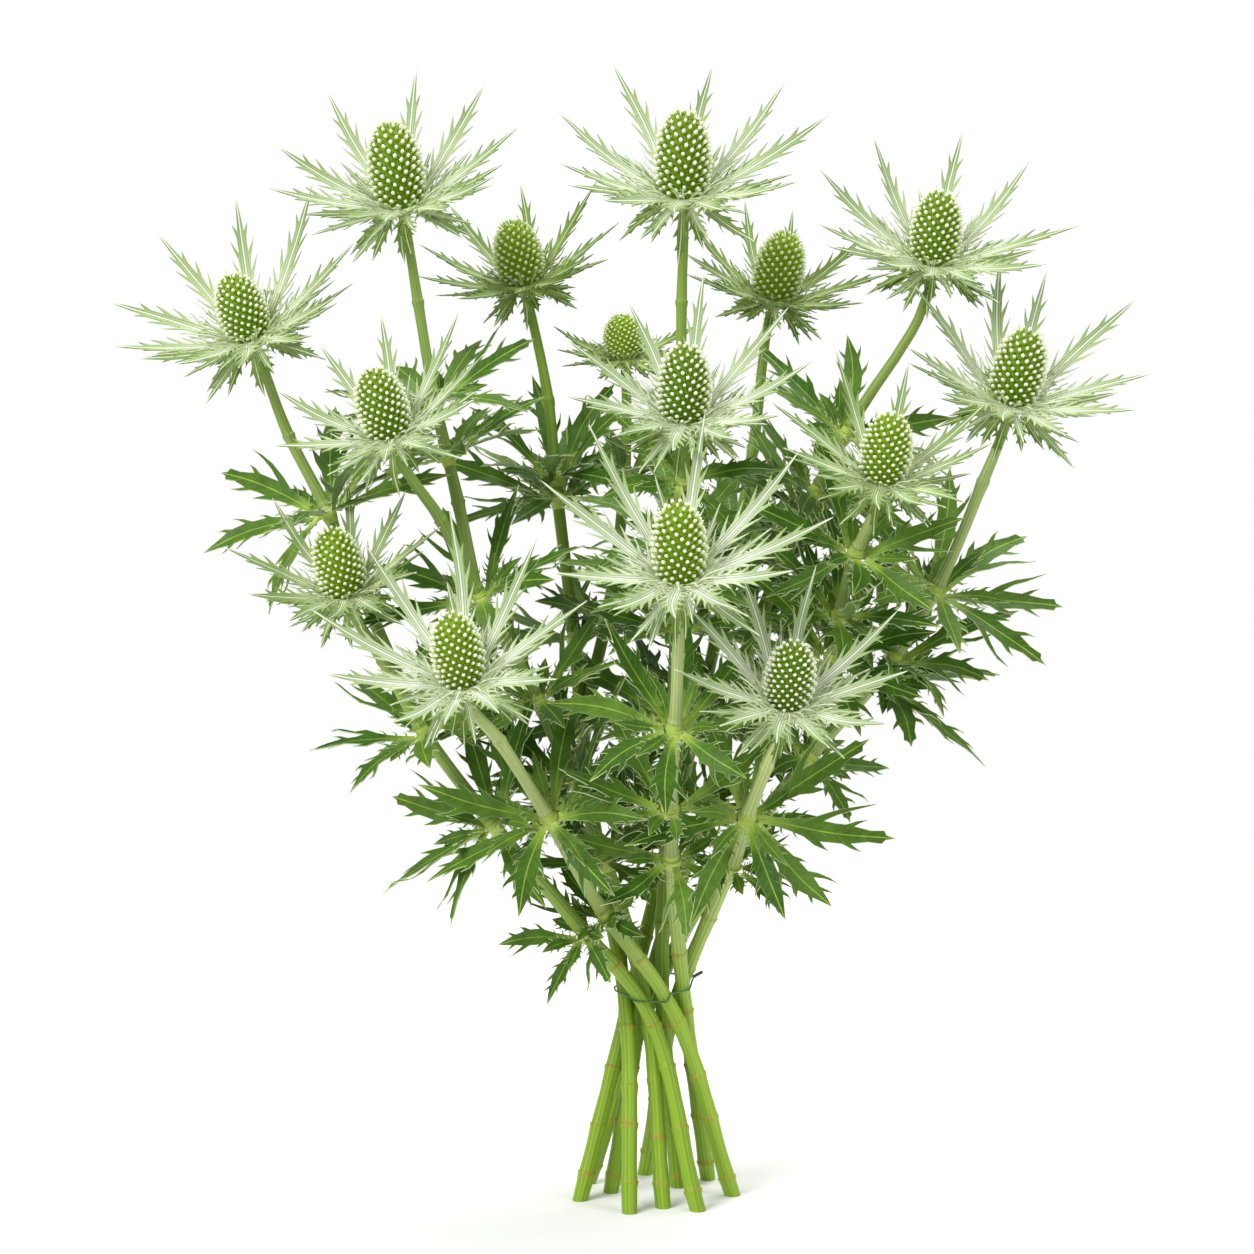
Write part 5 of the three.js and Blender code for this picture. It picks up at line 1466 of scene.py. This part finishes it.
def wire_path():
    """One slack turn of wire round the stems, which ends where it began, at the right."""
    path = []
    for k in range(WIRE["steps"] + 1):
        turn = 2 * math.pi * k / WIRE["steps"]
        out = np.array([math.cos(turn), math.sin(turn), 0.0])
        sag = SLACK["front"] * max(0, -math.sin(turn)) ** 2
        lift = SLACK["middle"] + SLACK["right"] * math.cos(turn) - sag
        edges = [stem_edge(parts[0][0], out, lift) for parts in limbs.values()]
        edge = max(edges, key=lambda e: np.dot(e, out))
        level = TIE["height"] + lift
        path.append(np.array([edge[0], edge[1], level]) + out * TIE["gap"])
    return path


def wire_along(path, radius):
    """A closed round wire along a path."""
    obj, flat, ring = ringed_tube("wire", WIRE["sides"], len(path))
    way = np.gradient(np.array(path), axis=0)
    points = np.zeros_like(flat)
    back = unit(np.cross(way[0], [0.3, 0.2, 1.0]))
    for k, centre in enumerate(path):
        here = ring == k
        up = unit(way[k])
        back = unit(back - up * np.dot(up, back))
        right = np.cross(back, up)
        points[here] = centre + (right * flat[here, :1] + back * flat[here, 1:2]) * radius
    set_points(obj, (points + MIDDLE) * MM)
    smooth(obj, 60)
    return obj


def twisted_ends(start):
    """The two ends of the wire, twisted round each other."""
    way = unit(np.array(TWIST["way"]))
    across = unit(np.cross(way, [0, 0, 1.0]))
    above = np.cross(across, way)
    ends = []
    for phase in (0, math.pi):
        path = []
        for k in range(TWIST["steps"] + 1):
            share = k / TWIST["steps"]
            turn = phase + 2 * math.pi * TWIST["turns"] * share
            spiral = (across * math.cos(turn) + above * math.sin(turn)) * (WIRE["radius"] * TWIST["apart"])
            path.append(start + way * TWIST["length"] * share + spiral)
        ends.append(wire_along(path, WIRE["radius"]))
    return ends


# ---------- all pieces ----------
masters = {"bract": bract_master(), "short": short_bract_master(), "small": small_bract_master(),
           "needle": needle_master(), "lance": lance_leaf_master(),
           "toothed_left": toothed_leaf_master(-1), "toothed_right": toothed_leaf_master(1),
           "forked_left": forked_leaf_master(-1), "forked_right": forked_leaf_master(1)}
cone = cone_master()

for h, (name, head) in enumerate(HEADS.items()):
    hand_over(make_ruff(name, head, h, masters), "bract", name + "_ruff")
    hand_over(make_cone(name + "_florets", head, cone), "floret", name + "_cone")
hand_over(make_cone("bud_florets", BUD, cone), "floret", "bud")

for name in STEMS:
    hand_over(make_stem(name), "stem", name)

whorls_on = {}
for w, whorl in enumerate([*WHORLS, *INNER_WHORLS]):
    stem = whorl["stem"]
    whorls_on[stem] = whorls_on.get(stem, 0) + 1
    has_solid = w < len(WHORLS)
    piece = make_whorl(stem + "_whorl_" + str(whorls_on[stem]), whorl, whorls[w], masters)
    hand_over(piece, "leaf", *([stem + "_leaves_" + str(whorls_on[stem])] if has_solid else []))

loop = wire_path()
tie = join("tie_wire", [wire_along(loop, WIRE["radius"]), *twisted_ends(loop[0])])
hand_over(tie, "tie_wire", "tie")

for spare in [*masters.values(), cone]:
    bpy.data.objects.remove(spare)

# ---------- floor, light and camera ----------
floor = new_primitive("studio_floor", bpy.ops.mesh.primitive_circle_add, vertices=64, radius=0.9,
                      fill_type="NGON")
floor.data.materials.append(floor_finish())

scene = bpy.context.scene
scene.view_settings.view_transform = "Standard"
world = bpy.data.worlds.new("studio")
world.use_nodes = True
world.node_tree.nodes.clear()
# The studio is white where it is seen, and lights the plant more softly than that.
seen = add(world.node_tree, "ShaderNodeLightPath").outputs["Is Camera Ray"]
level = add(world.node_tree, "ShaderNodeMapRange", {"Value": seen, "To Min": 0.43, "To Max": 1.0}).outputs[0]
sky = add(world.node_tree, "ShaderNodeBackground", {"Color": (1, 1, 1, 1), "Strength": level})
add(world.node_tree, "ShaderNodeOutputWorld", {"Surface": sky.outputs[0]})
scene.world = world


def soft_light(name, place, aim, size, power):
    light = bpy.data.lights.new(name, "AREA")
    light.shape = "DISK"
    light.size = size
    light.energy = power
    lamp = bpy.data.objects.new(name, light)
    scene.collection.objects.link(lamp)
    way = Vector(aim) - Vector(place)
    lamp.location = place
    lamp.rotation_euler = way.to_track_quat("-Z", "Y").to_euler()


soft_light("soft_key", place=(-1.5, -1.4, 1.8), aim=(0, 0, 0.25), size=1.6, power=60)
soft_light("soft_top", place=(0.5, 0.5, 2.2), aim=(0, 0, 0.2), size=1.6, power=36)
soft_light("soft_fill", place=(1.6, -1.1, 1.1), aim=(0, 0, 0.3), size=1.2, power=12)

CAMERA = {"back": 1600, "height": 420, "focal_share": 3556 / 1254, "pitch": 5.66, "yaw": 0.45}
lens = bpy.data.cameras.new("camera")
lens.lens = CAMERA["focal_share"] * lens.sensor_width
camera = bpy.data.objects.new("camera", lens)
camera.location = (MIDDLE + [0, -CAMERA["back"], CAMERA["height"]]) * MM
camera.rotation_euler = (math.radians(90 - CAMERA["pitch"]), 0, math.radians(CAMERA["yaw"]))
scene.collection.objects.link(camera)
scene.camera = camera
